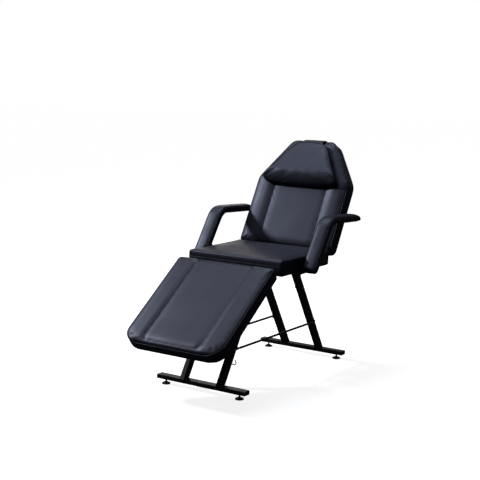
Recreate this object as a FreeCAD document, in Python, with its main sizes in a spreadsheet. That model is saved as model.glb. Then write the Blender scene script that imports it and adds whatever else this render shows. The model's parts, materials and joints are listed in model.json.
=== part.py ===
import FreeCAD, Part
import math
import os
import re
from types import SimpleNamespace

import Sketcher

# A treatment chair: an A shaped steel stand, a seat with two armrests, a leg rest and a back
# that tilt on hinges, each carried by a swinging wire bail that slides in a pair of racks.
# Millimetres and degrees. +X is the sitter's left, the feet lie towards -Y and +Z is up.

Vector = FreeCAD.Vector
Rotation = FreeCAD.Rotation
Placement = FreeCAD.Placement

# Driving dimensions, one group for each piece or joint

SIZES = {
    # stand
    "bar_pitch": 1013.5, "bar_length": 557, "bar_width": 45, "bar_height": 22, "bar_wall": 1.5,
    "bar_underside": 28, "cap_lip": 3, "cap_depth": 15, "cap_play": 0.2,
    "leg_offset": 114.3, "leg_thickness": 25, "leg_depth": 45, "leg_wall": 1.5, "leg_tilt": 31.2,
    "leg_top_gap": 3,
    "tube_size": 25, "tube_wall": 1.5,
    # levelling feet
    "foot_inset": 45, "foot_radius": 22.5, "foot_rim": 5, "foot_crown_radius": 17, "foot_crown": 9,
    "foot_boss_radius": 7, "foot_boss": 15, "stud_radius": 4, "stud_reach": 13,
    "insert_radius": 8, "insert_height": 8, "running_play": 0.05, "meeting_gap": 0.05,
    # braces and hooks
    "brace_height": 222, "brace_radius": 6.2, "brace_flat": 4, "brace_flat_width": 17,
    "brace_flat_length": 51, "brace_flat_overlap": 13, "hook_height": 157, "hook_wire_radius": 2.8,
    "hook_reach": 24, "hook_bend_radius": 12, "hook_tip": 7, "hook_bend_angle": 140, "hook_fall": 10,
    # bolts
    "bolt_radius": 4, "bolt_play": 0.3, "bolt_head_radius": 7, "bolt_head": 5.3, "bolt_tail": 2,
    "nut_height": 6.5, "leg_bolt_spacing": 20, "leg_bolt_inset": 8,
    # seat
    "seat_top": 679, "seat_width": 608, "seat_front": 232, "seat_rear": 268, "seat_thickness": 85.5,
    "seat_crown": 8, "seat_front_roll": 28, "seat_rear_roll": 15, "front_rail_setback": 8,
    "rear_rail_setback": 7, "cross_rail_half": 190,
    "cover_thickness": 1.2, "cover_inset": 7, "cover_narrowing": 28,
    "board_thickness": 12, "board_inset": 8,
    # upholstery forms shared by the three cushions
    "first_corner": 16, "roll_radius": 15, "side_draw": 6, "side_lean": 1, "crown_reach": 130,
    "station_gap": 1.5,
    "channel_half": 8, "channel_depth": 7, "channel_end_depth": 1,
    # leg rest, measured from its hinge
    "legrest_angle": 36.3, "legrest_hinge_forward": 13.1, "legrest_drop": 88, "legrest_start": 14,
    "legrest_length": 615, "legrest_width": 612, "legrest_thickness": 68.5, "legrest_crown": 7,
    "legrest_near_roll": 6, "legrest_far_roll": 24, "legrest_corner": 85, "legrest_tube_gap": 69,
    "legrest_cross_one": 70, "legrest_cross_gap": 129,
    # back, measured from its hinge
    "back_angle": 61, "back_hinge_behind": 31.8, "back_drop": 55, "back_start": 20,
    "back_length": 674, "back_width": 606, "back_thickness": 81, "back_crown": 8,
    "back_near_roll": 30, "back_far_roll": 18, "back_shoulder": 419, "back_top_half": 138,
    "back_corner": 58, "back_tube_gap": 189, "back_cross_one": 330, "back_cross_gap": 219,
    # hinges
    "tube_inner_face": 187, "tube_start": 25, "ear_thickness": 5, "ear_gap": 0.5, "ear_radius": 12,
    "ear_reach": 62, "pin_radius": 5, "pin_head_radius": 9, "pin_head": 5, "pin_clip": 4,
    "rear_ear_rise_setback": 13, "rear_ear_foot": 22,
    # swinging bails and their racks
    "bail_pivot_height": 442, "bail_rod_radius": 4, "bail_half": 95, "bail_radius": 320,
    "bail_bend": 18, "bail_eye_radius": 9, "bail_eye": 8, "bail_spacer": 2.4,
    "legrest_bar_depth": 8, "back_bar_depth": 52, "rack_half": 57, "rack_web": 4,
    "rack_flange": 20, "rack_margin": 9, "rack_play": 1.5, "rack_notch": 5, "rack_pitch": 22,
    # head pillow, measured from the top of the back cushion
    "pillow_top_gap": 24, "pillow_length": 281, "pillow_half": 243, "pillow_end_rise": 14,
    "pillow_roll": 62, "pillow_thin": 20, "pillow_lift": 0.6, "flap_half": 70, "flap_thickness": 4,
    "flap_clearance": 1, "flap_drop": 115,
    # armrests
    "arm_gap": 10, "arm_width": 86, "arm_thickness": 43, "arm_corner": 15, "arm_tilt": 55.8,
    "arm_fall": 2.6, "arm_height": 183, "arm_bend": 92, "arm_knee": 352, "arm_low": 80,
    "arm_tail": 626, "arm_droop": 10, "arm_tip": 73, "core_width": 32, "core_thickness": 8,
    "core_corner": 2, "core_end_gap": 22, "bracket_thickness": 5, "bracket_shift": 10,
    "bracket_width": 76, "bracket_rise": 92, "bracket_run": 96, "bracket_play": 0.2,
    "arm_bolt_low": 31, "arm_bolt_pitch": 46, "arm_bolt_head": 3,
    # one overrun for every cut
    "overrun": 5,
}

# Shares of the sizes that they follow, and the turning ratio of each bail to its panel

CHANNEL_SHARE = 0.57
CHANNEL_RISE_SHARE = 0.5
LOBE_MIDDLE_SHARE = 0.8
LEGREST_BAIL_RATIO_SHARE = 1.275
BACK_BAIL_RATIO_SHARE = 0.60
LEGREST_DOWN_ANGLE = 13.7
ARC_STEPS_SHARE = (0, 0.25, 0.5, 0.75, 1)
QUARTER_ARC_SHARE = math.sqrt(0.5)

# The pillow: shares of its half width and length along the bell, and of its roll in a section

PILLOW_BELL_SHARES = ((0, 1), (0.27, 0.995), (0.397, 0.921), (0.484, 0.85), (0.576, 0.747), (0.68, 0.583),
                      (0.774, 0.437), (0.862, 0.333), (0.95, 0.235), (1, 0.16))
PILLOW_CREST_SHARE = 0.18
PILLOW_END_FULLNESS_SHARE = 0.45
PILLOW_BROW_SHARE = 0.9
ROLL_FOOT_SHARE = 0.12
ROLL_FRONT_SHARE = 0.06
ROLL_CREST_SHARE = 0.7
SLOPE_FULLNESS_SHARE = 0.52
TOP_END_SHARES = (0.2, 0.3, 0.5)

# Where an arm's sleeve is drawn in: its foot as shares of half its thickness, its tip of its length

ARM_FOOT_SHARES = ((0, 0.66, 0.8), (0.15, 0.82, 0.92), (0.5, 0.97, 0.99), (1, 1, 1))
ARM_TIP_SHARES = ((0.4, 0.9, 0.97), (0.75, 0.66, 0.85), (0.93, 0.42, 0.66), (1, 0.25, 0.45))

doc = FreeCAD.newDocument("treatment_chair")
sheet = doc.addObject("Spreadsheet::Sheet", "Sizes")
for row, (alias, value) in enumerate(SIZES.items(), start=1):
    sheet.set("A%d" % row, alias)
    sheet.set("B%d" % row, str(value))
    sheet.setAlias("B%d" % row, alias)
doc.recompute()
D = SimpleNamespace(**{alias: float(sheet.get(alias)) for alias in SIZES})

PARTS = {}


def keep(label, piece, placement=None):
    """Give a finished piece its label and its place."""
    piece.Label = label
    if placement is not None:
        piece.Placement = placement
    PARTS[label] = piece
    return piece


def sized(text):
    """Turn the aliases in a formula into references to the sheet."""
    return re.sub(r"[a-z_]+", lambda word: ("Sizes." if word.group() in SIZES else "") + word.group(), text)


def bind(piece, **formulas):
    for prop, text in formulas.items():
        piece.setExpression(prop.replace("__", "."), sized(text))
    return piece


def box(x, y, z, length, width, height):
    """A block from its low corner, every number a formula in the sheet's sizes."""
    block = doc.addObject("Part::Box", "block")
    bind(block, Length=length, Width=width, Height=height)
    return bind(block, Placement__Base__x=x, Placement__Base__y=y, Placement__Base__z=z)


def rod(radius, height, start, along):
    """A round bar from a start point along a direction."""
    bar = doc.addObject("Part::Cylinder", "bar")
    bind(bar, Radius=radius, Height=height)
    bar.Placement = Placement(start, Rotation(Vector(0, 0, 1), along))
    return bar


def hexagon(radius, height, start, along):
    """A bolt head or nut."""
    prism = doc.addObject("Part::Prism", "hexagon")
    prism.Polygon = 6
    bind(prism, Circumradius=radius, Height=height)
    prism.Placement = Placement(start, Rotation(Vector(0, 0, 1), along))
    return prism


def cut(base, *tools):
    for tool in tools:
        result = doc.addObject("Part::Cut", "cut")
        result.Base = base
        result.Tool = tool
        base = result
    return base


def fuse(*pieces):
    result = doc.addObject("Part::MultiFuse", "joined")
    result.Shapes = list(pieces)
    result.Refine = True
    return result


def group(*pieces):
    """Several separate solids that share one node."""
    result = doc.addObject("Part::Compound", "group")
    result.Links = list(pieces)
    return result


def feature(shape):
    piece = doc.addObject("Part::Feature", "form")
    piece.Shape = shape
    return piece


def origin_plane(body, role):
    return [item for item in body.Origin.OriginFeatures if item.Role == role][0]


def plate(role, edges, length, holes=(), symmetric=True):
    """A body padded from a sketch of edges, with round holes whose radii follow the sheet."""
    body = doc.addObject("PartDesign::Body", "plate")
    sketch = body.newObject("Sketcher::SketchObject", "outline")
    sketch.AttachmentSupport = (origin_plane(body, role), [""])
    sketch.MapMode = "FlatFace"
    for edge in edges:
        sketch.addGeometry(edge)
    for centre, radius in holes:
        index = sketch.addGeometry(Part.Circle(centre, Vector(0, 0, 1), getattr(D, radius)))
        constraint = sketch.addConstraint(Sketcher.Constraint("Radius", index, getattr(D, radius)))
        sketch.setExpression("Constraints[%d]" % constraint, "Sizes." + radius)
    pad = body.newObject("PartDesign::Pad", "pad")
    pad.Profile = sketch
    bind(pad, Length=length)
    if symmetric:
        pad.SideType = "Symmetric"
    doc.recompute()
    return body


def polygon(points):
    """Straight edges through flat points, closed."""
    corners = [Vector(a, b, 0) for a, b in points]
    return [Part.LineSegment(p, q) for p, q in zip(corners, corners[1:] + corners[:1])]


def along_x(side):
    return Vector(side, 0, 0)


# Heights and lines that several pieces share

bar_top = D.bar_underside + D.bar_height
seat_base = D.seat_top - D.seat_thickness
frame_top = seat_base - D.cover_thickness
rail_mid = frame_top - D.tube_size / 2
leg_inner = D.leg_offset - D.leg_thickness / 2
leg_outer = D.leg_offset + D.leg_thickness / 2
rail_outer = leg_outer + D.tube_size
leg_slope = math.tan(math.radians(D.leg_tilt))
SIDES = {"left": 1, "right": -1}
ENDS = {"front": -1, "rear": 1}


def leg_y(end, height):
    """Where a leg's centre line stands at a height."""
    return ENDS[end] * (D.bar_pitch / 2 - (height - bar_top) * leg_slope)


# Foot bars with their end caps, levelling feet and threaded inserts

FOOT_SPOTS = {(end, side): (SIDES[side] * (D.bar_length / 2 - D.foot_inset), ENDS[end] * D.bar_pitch / 2)
              for end in ENDS for side in SIDES}


def foot_bar(end):
    middle = "%d * bar_pitch / 2" % ENDS[end]
    outer = box("-bar_length / 2 + cap_lip", middle + " - bar_width / 2", "bar_underside",
                "bar_length - 2 * cap_lip", "bar_width", "bar_height")
    inner = box("-bar_length / 2", middle + " - bar_width / 2 + bar_wall", "bar_underside + bar_wall",
                "bar_length", "bar_width - 2 * bar_wall", "bar_height - 2 * bar_wall")
    holes = [rod("stud_radius + running_play", "bar_wall + overrun",
                 Vector(x, y, D.bar_underside - D.overrun), Vector(0, 0, 1))
             for (place, side), (x, y) in FOOT_SPOTS.items() if place == end]
    return cut(outer, inner, *holes)


for end in ENDS:
    keep("foot_bar_" + end, foot_bar(end))

caps = []
for end in ENDS:
    for side in SIDES.values():
        middle = "%d * bar_pitch / 2" % ENDS[end]
        edge = D.bar_length / 2 - D.cap_lip
        lip_start = "bar_length / 2 - cap_lip" if side > 0 else "-bar_length / 2"
        plug_start = "bar_length / 2 - cap_lip - cap_depth" if side > 0 else "-bar_length / 2 + cap_lip"
        lip = box(lip_start, middle + " - bar_width / 2", "bar_underside",
                  "cap_lip", "bar_width", "bar_height")
        plug = box(plug_start, middle + " - bar_width / 2 + bar_wall + cap_play",
                   "bar_underside + bar_wall + cap_play", "cap_depth",
                   "bar_width - 2 * bar_wall - 2 * cap_play", "bar_height - 2 * bar_wall - 2 * cap_play")
        caps.append(fuse(lip, plug))
keep("bar_end_caps", group(*caps))

inserts = []
for x, y in FOOT_SPOTS.values():
    seat = Vector(x, y, D.bar_underside + D.bar_wall)
    ring = rod("insert_radius", "insert_height", seat, Vector(0, 0, 1))
    inserts.append(cut(ring, rod("stud_radius + running_play", "insert_height + overrun",
                                 seat - Vector(0, 0, D.overrun / 2), Vector(0, 0, 1))))
keep("foot_inserts", group(*inserts))


def levelling_foot():
    """A turned pad with a crowned top, a boss and a threaded stud, drawn as half a section."""
    body = doc.addObject("PartDesign::Body", "levelling_foot")
    sketch = body.newObject("Sketcher::SketchObject", "half_section")
    sketch.AttachmentSupport = (origin_plane(body, "XZ_Plane"), [""])
    sketch.MapMode = "FlatFace"
    top = D.bar_underside + D.stud_reach
    for edge in polygon([(0, 0), (D.foot_radius, 0), (D.foot_radius, D.foot_rim),
                         (D.foot_crown_radius, D.foot_crown),
                         (D.foot_boss_radius, D.foot_crown), (D.foot_boss_radius, D.foot_boss),
                         (D.stud_radius, D.foot_boss), (D.stud_radius, top), (0, top)]):
        sketch.addGeometry(edge)
    turned = body.newObject("PartDesign::Revolution", "turned")
    turned.Profile = sketch
    turned.ReferenceAxis = (sketch, ["V_Axis"])
    turned.Angle = 360
    doc.recompute()
    return body


for (end, side), (x, y) in FOOT_SPOTS.items():
    keep("levelling_foot_%s_%s" % (end, side), levelling_foot(), Placement(Vector(x, y, 0), Rotation()))

# Slanted legs, drilled for their bolts and trimmed behind the seat's front rail

RAIL_LOW = "seat_top - seat_thickness - cover_thickness - tube_size"


def leg(end, side):
    """A rectangular tube that leans towards the middle, cut level at the bar and under the seat."""
    turn = Rotation(Vector(1, 0, 0), ENDS[end] * D.leg_tilt)
    foot = Vector(SIDES[side] * D.leg_offset, leg_y(end, bar_top), bar_top)
    run = "(seat_top - bar_underside) / cos(leg_tilt)"

    def slanted(length, width, shift):
        block = doc.addObject("Part::Box", "slanted")
        bind(block, Length=length, Width=width, Height=run)
        block.Placement = Placement(foot, turn) * Placement(shift, Rotation())
        return block

    outer = slanted("leg_thickness", "leg_depth",
                    Vector(-D.leg_thickness / 2, -D.leg_depth / 2, -D.leg_depth))
    inner = slanted("leg_thickness - 2 * leg_wall", "leg_depth - 2 * leg_wall",
                    Vector(-D.leg_thickness / 2 + D.leg_wall, -D.leg_depth / 2 + D.leg_wall, -D.leg_depth))
    level = box("-bar_length / 2", "-bar_pitch", "bar_underside + bar_height",
                "bar_length", "2 * bar_pitch",
                "seat_top - seat_thickness - cover_thickness - leg_top_gap - bar_underside - bar_height")
    tube = doc.addObject("Part::Common", "leg")
    tube.Base = cut(outer, inner)
    tube.Tool = level
    holes = [rod("bolt_radius + bolt_play", "leg_thickness + 2 * overrun",
                 Vector(SIDES[side] * (leg_inner - D.overrun), y, z), along_x(SIDES[side]))
             for y, z in leg_holes(end)]
    rail_room = box("-bar_length / 2", "-seat_front", RAIL_LOW + " - ear_gap", "bar_length",
                    "front_rail_setback + tube_size + ear_gap", "tube_size + ear_gap")
    return cut(tube, rail_room, *holes)


def top_bolts(end):
    middle = leg_y(end, rail_mid) - ENDS[end] * D.leg_bolt_inset
    return [(middle - D.leg_bolt_spacing / 2, rail_mid), (middle + D.leg_bolt_spacing / 2, rail_mid)]


def leg_holes(end):
    return top_bolts(end) + [(leg_y(end, D.brace_height), D.brace_height),
                             (leg_y(end, D.bail_pivot_height), D.bail_pivot_height)]


for end in ENDS:
    for side in SIDES:
        keep("%s_leg_%s" % (end, side), leg(end, side))

# Round braces with flattened, bolted ends, low down on the outer side of the legs


def brace(side):
    sign = SIDES[side]
    start = leg_y("front", D.brace_height)
    reach = Vector(sign * (leg_outer + D.brace_radius), start + D.brace_flat_overlap, D.brace_height)
    bar = rod("brace_radius", "%f * bar_pitch - 2 * brace_flat_overlap" % (-2 * start / D.bar_pitch), reach,
              Vector(0, 1, 0))
    ends = []
    for end in ENDS:
        middle = leg_y(end, D.brace_height)
        low = Vector(sign * leg_outer - (D.brace_flat if sign < 0 else 0), middle - D.brace_flat_length / 2,
                     D.brace_height - D.brace_flat_width / 2)
        flat = doc.addObject("Part::Box", "flattened_end")
        bind(flat, Length="brace_flat", Width="brace_flat_length", Height="brace_flat_width")
        flat.Placement = Placement(low, Rotation())
        ends.append(flat)
    holes = [rod("bolt_radius + bolt_play", "brace_flat + 2 * overrun",
                 Vector(sign * (leg_outer - D.overrun), leg_y(end, D.brace_height), D.brace_height),
                 along_x(sign))
             for end in ENDS]
    return cut(fuse(bar, *ends), *holes)


for side in SIDES:
    keep("brace_" + side, brace(side))

# Wire hooks on the outer side of the front legs


def wire(points_and_arcs, radius):
    """A round wire along straight and curved edges."""
    path = Part.Wire(points_and_arcs)
    first = path.Edges[0]
    ring = Part.Wire(Part.Circle(first.valueAt(first.FirstParameter), first.tangentAt(first.FirstParameter),
                                 radius).toShape())
    return path.makePipeShell([ring], True, False)


def hook(side):
    sign = SIDES[side]
    root = Vector(sign * leg_outer, leg_y("front", D.hook_height), D.hook_height)
    bend_start = root + Vector(sign * D.hook_reach, 0, 0)
    centre = bend_start + Vector(0, 0, D.hook_bend_radius)

    def on_bend(angle):
        turn = math.radians(angle)
        return centre + Vector(sign * math.sin(turn), 0, -math.cos(turn)) * D.hook_bend_radius

    bend_end = on_bend(D.hook_bend_angle)
    last = math.radians(D.hook_bend_angle)
    tip = bend_end + Vector(sign * math.cos(last) * D.hook_tip, 0, math.sin(last) * D.hook_tip)
    edges = [Part.LineSegment(root, bend_start).toShape(),
             Part.Arc(bend_start, on_bend(D.hook_bend_angle / 2), bend_end).toShape(),
             Part.LineSegment(bend_end, tip).toShape()]
    bent = wire(edges, D.hook_wire_radius)
    bent.rotate(root, Vector(0, 1, 0), sign * D.hook_fall)
    bent.translate(Vector(sign * D.hook_wire_radius * math.sin(math.radians(D.hook_fall)), 0, 0))
    return bent


keep("leg_hooks", feature(Part.makeCompound([hook(side) for side in SIDES])))

# Bolts and nuts of the stand


def bolt(side, start, y, z, length):
    """A hexagon bolt whose head sits on a face at start, its shank pointing inwards."""
    sign = SIDES[side]
    inward = along_x(-sign)
    head = hexagon("bolt_head_radius", "bolt_head", Vector(sign * start, y, z), along_x(sign))
    shank = rod("bolt_radius", length, Vector(sign * start, y, z), inward)
    return fuse(head, shank)


def nut(side, face, y, z):
    sign = SIDES[side]
    body = hexagon("bolt_head_radius", "nut_height", Vector(sign * face, y, z), along_x(-sign))
    bore = rod("bolt_radius", "nut_height + 2 * overrun", Vector(sign * (face + D.overrun), y, z),
               along_x(-sign))
    return cut(body, bore)


leg_bolts, leg_nuts, brace_bolts, brace_nuts, pivot_bolts, pivot_spacers = [], [], [], [], [], []
for side in SIDES:
    for end in ENDS:
        for y, z in top_bolts(end):
            leg_bolts.append(bolt(side, rail_outer, y, z,
                                  "tube_size + leg_thickness + nut_height + bolt_tail"))
            leg_nuts.append(nut(side, leg_inner, y, z))
        y = leg_y(end, D.brace_height)
        brace_bolts.append(bolt(side, leg_outer + D.brace_flat, y, D.brace_height,
                                "brace_flat + leg_thickness + nut_height + bolt_tail"))
        brace_nuts.append(nut(side, leg_inner, y, D.brace_height))
        y = leg_y(end, D.bail_pivot_height)
        pivot_bolts.append(bolt(side, leg_outer, y, D.bail_pivot_height,
                                "leg_thickness + bail_spacer + bail_eye + ear_gap + nut_height + bolt_tail"))
        spacer = rod("bail_eye_radius", "bail_spacer",
                     Vector(SIDES[side] * leg_inner, y, D.bail_pivot_height), along_x(-SIDES[side]))
        spacer_bore = rod("bolt_radius + bolt_play", "bail_spacer + 2 * overrun",
                          Vector(SIDES[side] * (leg_inner + D.overrun), y, D.bail_pivot_height),
                          along_x(-SIDES[side]))
        pivot_spacers.append(cut(spacer, spacer_bore))
        nut_face = leg_inner - D.bail_spacer - D.bail_eye - D.ear_gap
        pivot_spacers.append(nut(side, nut_face, y, D.bail_pivot_height))
keep("leg_bolts", group(*leg_bolts))
keep("leg_nuts", group(*leg_nuts))
keep("brace_bolts", group(*brace_bolts))
keep("brace_nuts", group(*brace_nuts))
keep("bail_pivot_bolts", group(*pivot_bolts))
keep("bail_spacers_and_nuts", group(*pivot_spacers))

# Seat frame: two side rails between two cross rails, with the hinge ears


def tube_along(x, y, z, length, direction):
    """A square tube from its low corner, along x or along y."""
    if direction == "x":
        outer = box(x, y, z, length, "tube_size", "tube_size")
        inner = box(x + " - overrun", y + " + tube_wall", z + " + tube_wall", length + " + 2 * overrun",
                    "tube_size - 2 * tube_wall", "tube_size - 2 * tube_wall")
    else:
        outer = box(x, y, z, "tube_size", length, "tube_size")
        inner = box(x + " + tube_wall", y + " - overrun", z + " + tube_wall", "tube_size - 2 * tube_wall",
                    length + " + 2 * overrun", "tube_size - 2 * tube_wall")
    return cut(outer, inner)


rails = []
for side in SIDES.values():
    low_x = "leg_offset + leg_thickness / 2" if side > 0 else "-leg_offset - leg_thickness / 2 - tube_size"
    rail = tube_along(low_x, "-seat_front + front_rail_setback + tube_size", RAIL_LOW,
                      "seat_front + seat_rear - front_rail_setback - rear_rail_setback - 2 * tube_size", "y")
    drills = [rod("bolt_radius + bolt_play", "tube_size + 2 * overrun",
                  Vector(side * (leg_outer - D.overrun), y, z), along_x(side))
              for end in ENDS for y, z in top_bolts(end)]
    rails.append(cut(rail, *drills))
keep("seat_side_rails", group(*rails))
front_rail = tube_along("-cross_rail_half", "-seat_front + front_rail_setback", RAIL_LOW,
                        "2 * cross_rail_half", "x")
rear_rail = tube_along("-cross_rail_half", "seat_rear - rear_rail_setback - tube_size", RAIL_LOW,
                       "2 * cross_rail_half", "x")
keep("seat_cross_rails", group(front_rail, rear_rail))

# Hinge lines, and how far the panels stand open in the stored pose

legrest_hinge = Vector(0, -D.seat_front - D.legrest_hinge_forward, D.seat_top - D.legrest_drop)
back_hinge = Vector(0, D.seat_rear + D.back_hinge_behind, D.seat_top - D.back_drop)
legrest_place = Placement(legrest_hinge, Rotation(Vector(1, 0, 0), D.legrest_angle))
back_place = Placement(back_hinge, Rotation(Vector(1, 0, 0), D.back_angle))
legrest_under = D.legrest_drop - D.legrest_thickness
back_under = D.back_drop - D.back_thickness
panel_ear_x = D.tube_inner_face - D.ear_thickness / 2
seat_ear_x = D.tube_inner_face - D.ear_thickness - D.ear_gap - D.ear_thickness / 2


def ear(points, eye, radius, bore):
    """A flat hinge ear: a round eye that runs out into a welded foot."""
    body = plate("YZ_Plane", polygon(points), "ear_thickness")
    disc = rod(radius, "ear_thickness", eye - Vector(D.ear_thickness / 2, 0, 0), along_x(1))
    hole = rod(bore, "ear_thickness + 2 * overrun", eye - Vector(D.ear_thickness / 2 + D.overrun, 0, 0),
               along_x(1))
    return cut(fuse(body, disc), hole)


def both_sides(make, x):
    """The same flat piece on each side of the chair."""
    pieces = []
    for side in SIDES.values():
        piece = make()
        piece.Placement = Placement(Vector(side * x, 0, 0), Rotation())
        pieces.append(piece)
    return group(*pieces)


def front_seat_ear():
    rail_face = -D.seat_front + D.front_rail_setback
    low = legrest_hinge.z - D.ear_radius
    points = [(rail_face, low), (rail_face, frame_top), (legrest_hinge.y, frame_top),
              (legrest_hinge.y, low)]
    return ear(points, legrest_hinge, "ear_radius", "pin_radius")


def rear_seat_ear():
    rail_face = D.seat_rear - D.rear_rail_setback
    low = frame_top - D.tube_size
    rise_front = back_hinge.y - D.rear_ear_rise_setback
    rise_rear = back_hinge.y + D.rear_ear_rise_setback
    points = [(rail_face, low), (rail_face, low + D.rear_ear_foot), (rise_front, low + D.rear_ear_foot),
              (rise_front, back_hinge.z), (rise_rear, back_hinge.z), (rise_rear, low)]
    return ear(points, back_hinge, "rear_ear_rise_setback", "pin_radius")


keep("legrest_seat_ears", both_sides(front_seat_ear, seat_ear_x))
keep("backrest_seat_ears", both_sides(rear_seat_ear, seat_ear_x))


def hinge_pin(side, centre):
    """A headed pin through a seat ear and a panel ear, closed by a clip."""
    sign = SIDES[side]
    inner = seat_ear_x - D.ear_thickness / 2
    at = Vector(sign * inner, centre.y, centre.z)
    head = rod("pin_head_radius", "pin_head", at, along_x(-sign))
    shank = rod("pin_radius", "2 * ear_thickness + 2 * ear_gap + pin_clip", at, along_x(sign))
    clip_face = sign * (D.tube_inner_face + D.ear_gap)
    clip = rod("ear_radius - pin_clip", "pin_clip", Vector(clip_face, centre.y, centre.z), along_x(sign))
    return fuse(head, shank, clip)


pins = [hinge_pin(side, centre) for side in SIDES for centre in (legrest_hinge, back_hinge)]
keep("hinge_pins", group(*pins))

# Upholstery. Each cushion is a loft of sections across it, from its first end to its last


def end_loss(distance, radius):
    """How far a round corner or edge has fallen away at a distance from the end."""
    if distance >= radius:
        return 0
    return radius - math.sqrt(radius ** 2 - (radius - distance) ** 2)


def cushion_outline(length, half, first_corner, last_corner, shoulder=None, top_half=None):
    """The half width along a cushion, as a function of the distance from its first end."""
    def half_at(distance):
        width = half
        if shoulder is not None and distance > shoulder:
            width = half - (half - top_half) * (distance - shoulder) / (length - shoulder)
        return width - end_loss(distance, first_corner) - end_loss(length - distance, last_corner)
    return half_at


def stations(length, rolls, last_corner, shoulder=None):
    """Distances at which the sections stand: close together in the rounded ends."""
    near_roll, far_roll = rolls
    first = [near_roll * (1 - math.cos(math.pi / 2 * share)) for share in ARC_STEPS_SHARE]
    first += [D.first_corner * (1 - math.cos(math.pi / 2 * share)) for share in ARC_STEPS_SHARE[2:]]
    last = [length - far_roll * (1 - math.cos(math.pi / 2 * share)) for share in ARC_STEPS_SHARE]
    last += [length - last_corner * (1 - math.cos(math.pi / 2 * share)) for share in ARC_STEPS_SHARE[2:]]
    middle = [D.crown_reach / 2, D.crown_reach, length / 2, length - D.crown_reach]
    if shoulder is not None:
        middle.append(shoulder)
    spots = sorted(set(first + last + middle))
    chosen = [spots[0]]
    for spot in spots[1:]:
        if spot - chosen[-1] > D.station_gap:
            chosen.append(spot)
    chosen[-1] = length
    return chosen


def cushion_section(place, half, height, crown, channelled, channel_drop):
    """A closed wire across a cushion: flat underside, full sides, rolled edges and a crown."""
    base = half - D.side_draw
    wall = height - D.roll_radius
    shoulder_x = half - D.side_lean - D.roll_radius
    quarter = QUARTER_ARC_SHARE * D.roll_radius

    def one_side(sign):
        """Edges from the underside up over the roll, on one side."""
        return [Part.Arc(place(sign * base, 0), place(sign * half, wall / 2),
                         place(sign * (half - D.side_lean), wall)),
                Part.Arc(place(sign * (half - D.side_lean), wall),
                         place(sign * (shoulder_x + quarter), wall + quarter),
                         place(sign * shoulder_x, height))]

    def lobe(sign, inner_x, rise):
        middle_x = (shoulder_x + inner_x) / 2
        return Part.Arc(place(sign * shoulder_x, height),
                        place(sign * middle_x, height + rise * LOBE_MIDDLE_SHARE),
                        place(sign * inner_x, height + rise))

    def channel(sign, centre_x, rise):
        bottom = place(sign * centre_x, height + rise - channel_drop)
        return [Part.LineSegment(place(sign * (centre_x + D.channel_half), height + rise), bottom),
                Part.LineSegment(bottom, place(sign * (centre_x - D.channel_half), height + rise))]

    edges = [Part.LineSegment(place(-base, 0), place(base, 0))]
    edges += one_side(1)
    if channelled:
        centre_x = min(CHANNEL_SHARE * half, shoulder_x - 2 * D.channel_half)
        rise = crown * CHANNEL_RISE_SHARE
        edges.append(lobe(1, centre_x + D.channel_half, rise))
        edges += channel(1, centre_x, rise)
        edges.append(Part.Arc(place(centre_x - D.channel_half, height + rise), place(0, height + crown),
                              place(-centre_x + D.channel_half, height + rise)))
        edges += channel(-1, centre_x, rise)
        edges.append(lobe(-1, centre_x + D.channel_half, rise))
    else:
        edges.append(Part.Arc(place(shoulder_x, height), place(0, height + crown),
                              place(-shoulder_x, height)))
    edges += one_side(-1)
    return Part.Wire(Part.__sortEdges__([edge.toShape() for edge in edges]))


def cushion(sign, start, low, length, thickness, crown, rolls, half_at, spots, channelled):
    """A cushion in its panel's own frame: sign is the way it runs from its hinge."""
    near_roll, far_roll = rolls
    wires = []
    for spot in spots:
        near_end = min(spot, length - spot)
        height = thickness - max(end_loss(spot, near_roll), end_loss(length - spot, far_roll))
        fullness = 1 - (1 - min(1, near_end / D.crown_reach)) ** 2
        drop = D.channel_end_depth + (D.channel_depth - D.channel_end_depth) * fullness
        lift = D.side_lean + crown * fullness
        y = sign * (start + spot)
        wires.append(cushion_section(lambda x, n, y=y: Vector(x, y, low + n), half_at(spot), height, lift,
                                     channelled, drop))
    return Part.makeLoft(wires, True, True)


def board(sign, start, low, length, half, corners, shoulder=None, top_half=None):
    """A plywood board cut to the cushion's outline, with its last corners rounded."""
    gap = D.board_inset + D.side_draw
    first = sign * (start + gap)
    last = sign * (start + length - gap)
    if shoulder is None:
        points = [(-half + gap, first), (half - gap, first), (half - gap, last), (-half + gap, last)]
    else:
        bend = sign * (start + shoulder)
        points = [(-half + gap, first), (half - gap, first), (half - gap, bend), (top_half - gap, last),
                  (-top_half + gap, last), (-half + gap, bend)]
    body = plate("XY_Plane", polygon(points), "board_thickness", symmetric=False)
    edges = []
    for index, edge in enumerate(body.Shape.Edges, start=1):
        ends = [vertex.Point for vertex in edge.Vertexes]
        upright = len(ends) == 2 and abs(ends[0].x - ends[1].x) + abs(ends[0].y - ends[1].y) < D.meeting_gap
        if upright and abs(ends[0].y - last) < D.meeting_gap:
            edges.append("Edge%d" % index)
    padded = body.Tip
    rounded = body.newObject("PartDesign::Fillet", "rounded_corners")
    rounded.Base = (padded, edges)
    bind(rounded, Radius=corners)
    doc.recompute()
    body.Placement = Placement(Vector(0, 0, low), Rotation())
    doc.recompute()
    return body


def cover(sign, start, low, length, half, shoulder=None, top_half=None):
    """The thin cloth stapled over the underside of a panel."""
    gap = D.board_inset + D.side_draw + D.cover_inset
    first = sign * (start + gap)
    last = sign * (start + length - gap - D.cover_inset)
    bend = sign * (start + (shoulder if shoulder is not None else length / 2))
    top = (top_half if top_half is not None else half - D.cover_narrowing) - gap
    points = [(-half + gap, first), (half - gap, first), (half - gap, bend), (top, last), (-top, last),
              (-half + gap, bend)]
    body = plate("XY_Plane", polygon(points), "cover_thickness", symmetric=False)
    body.Placement = Placement(Vector(0, 0, low - D.cover_thickness), Rotation())
    return body


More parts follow.
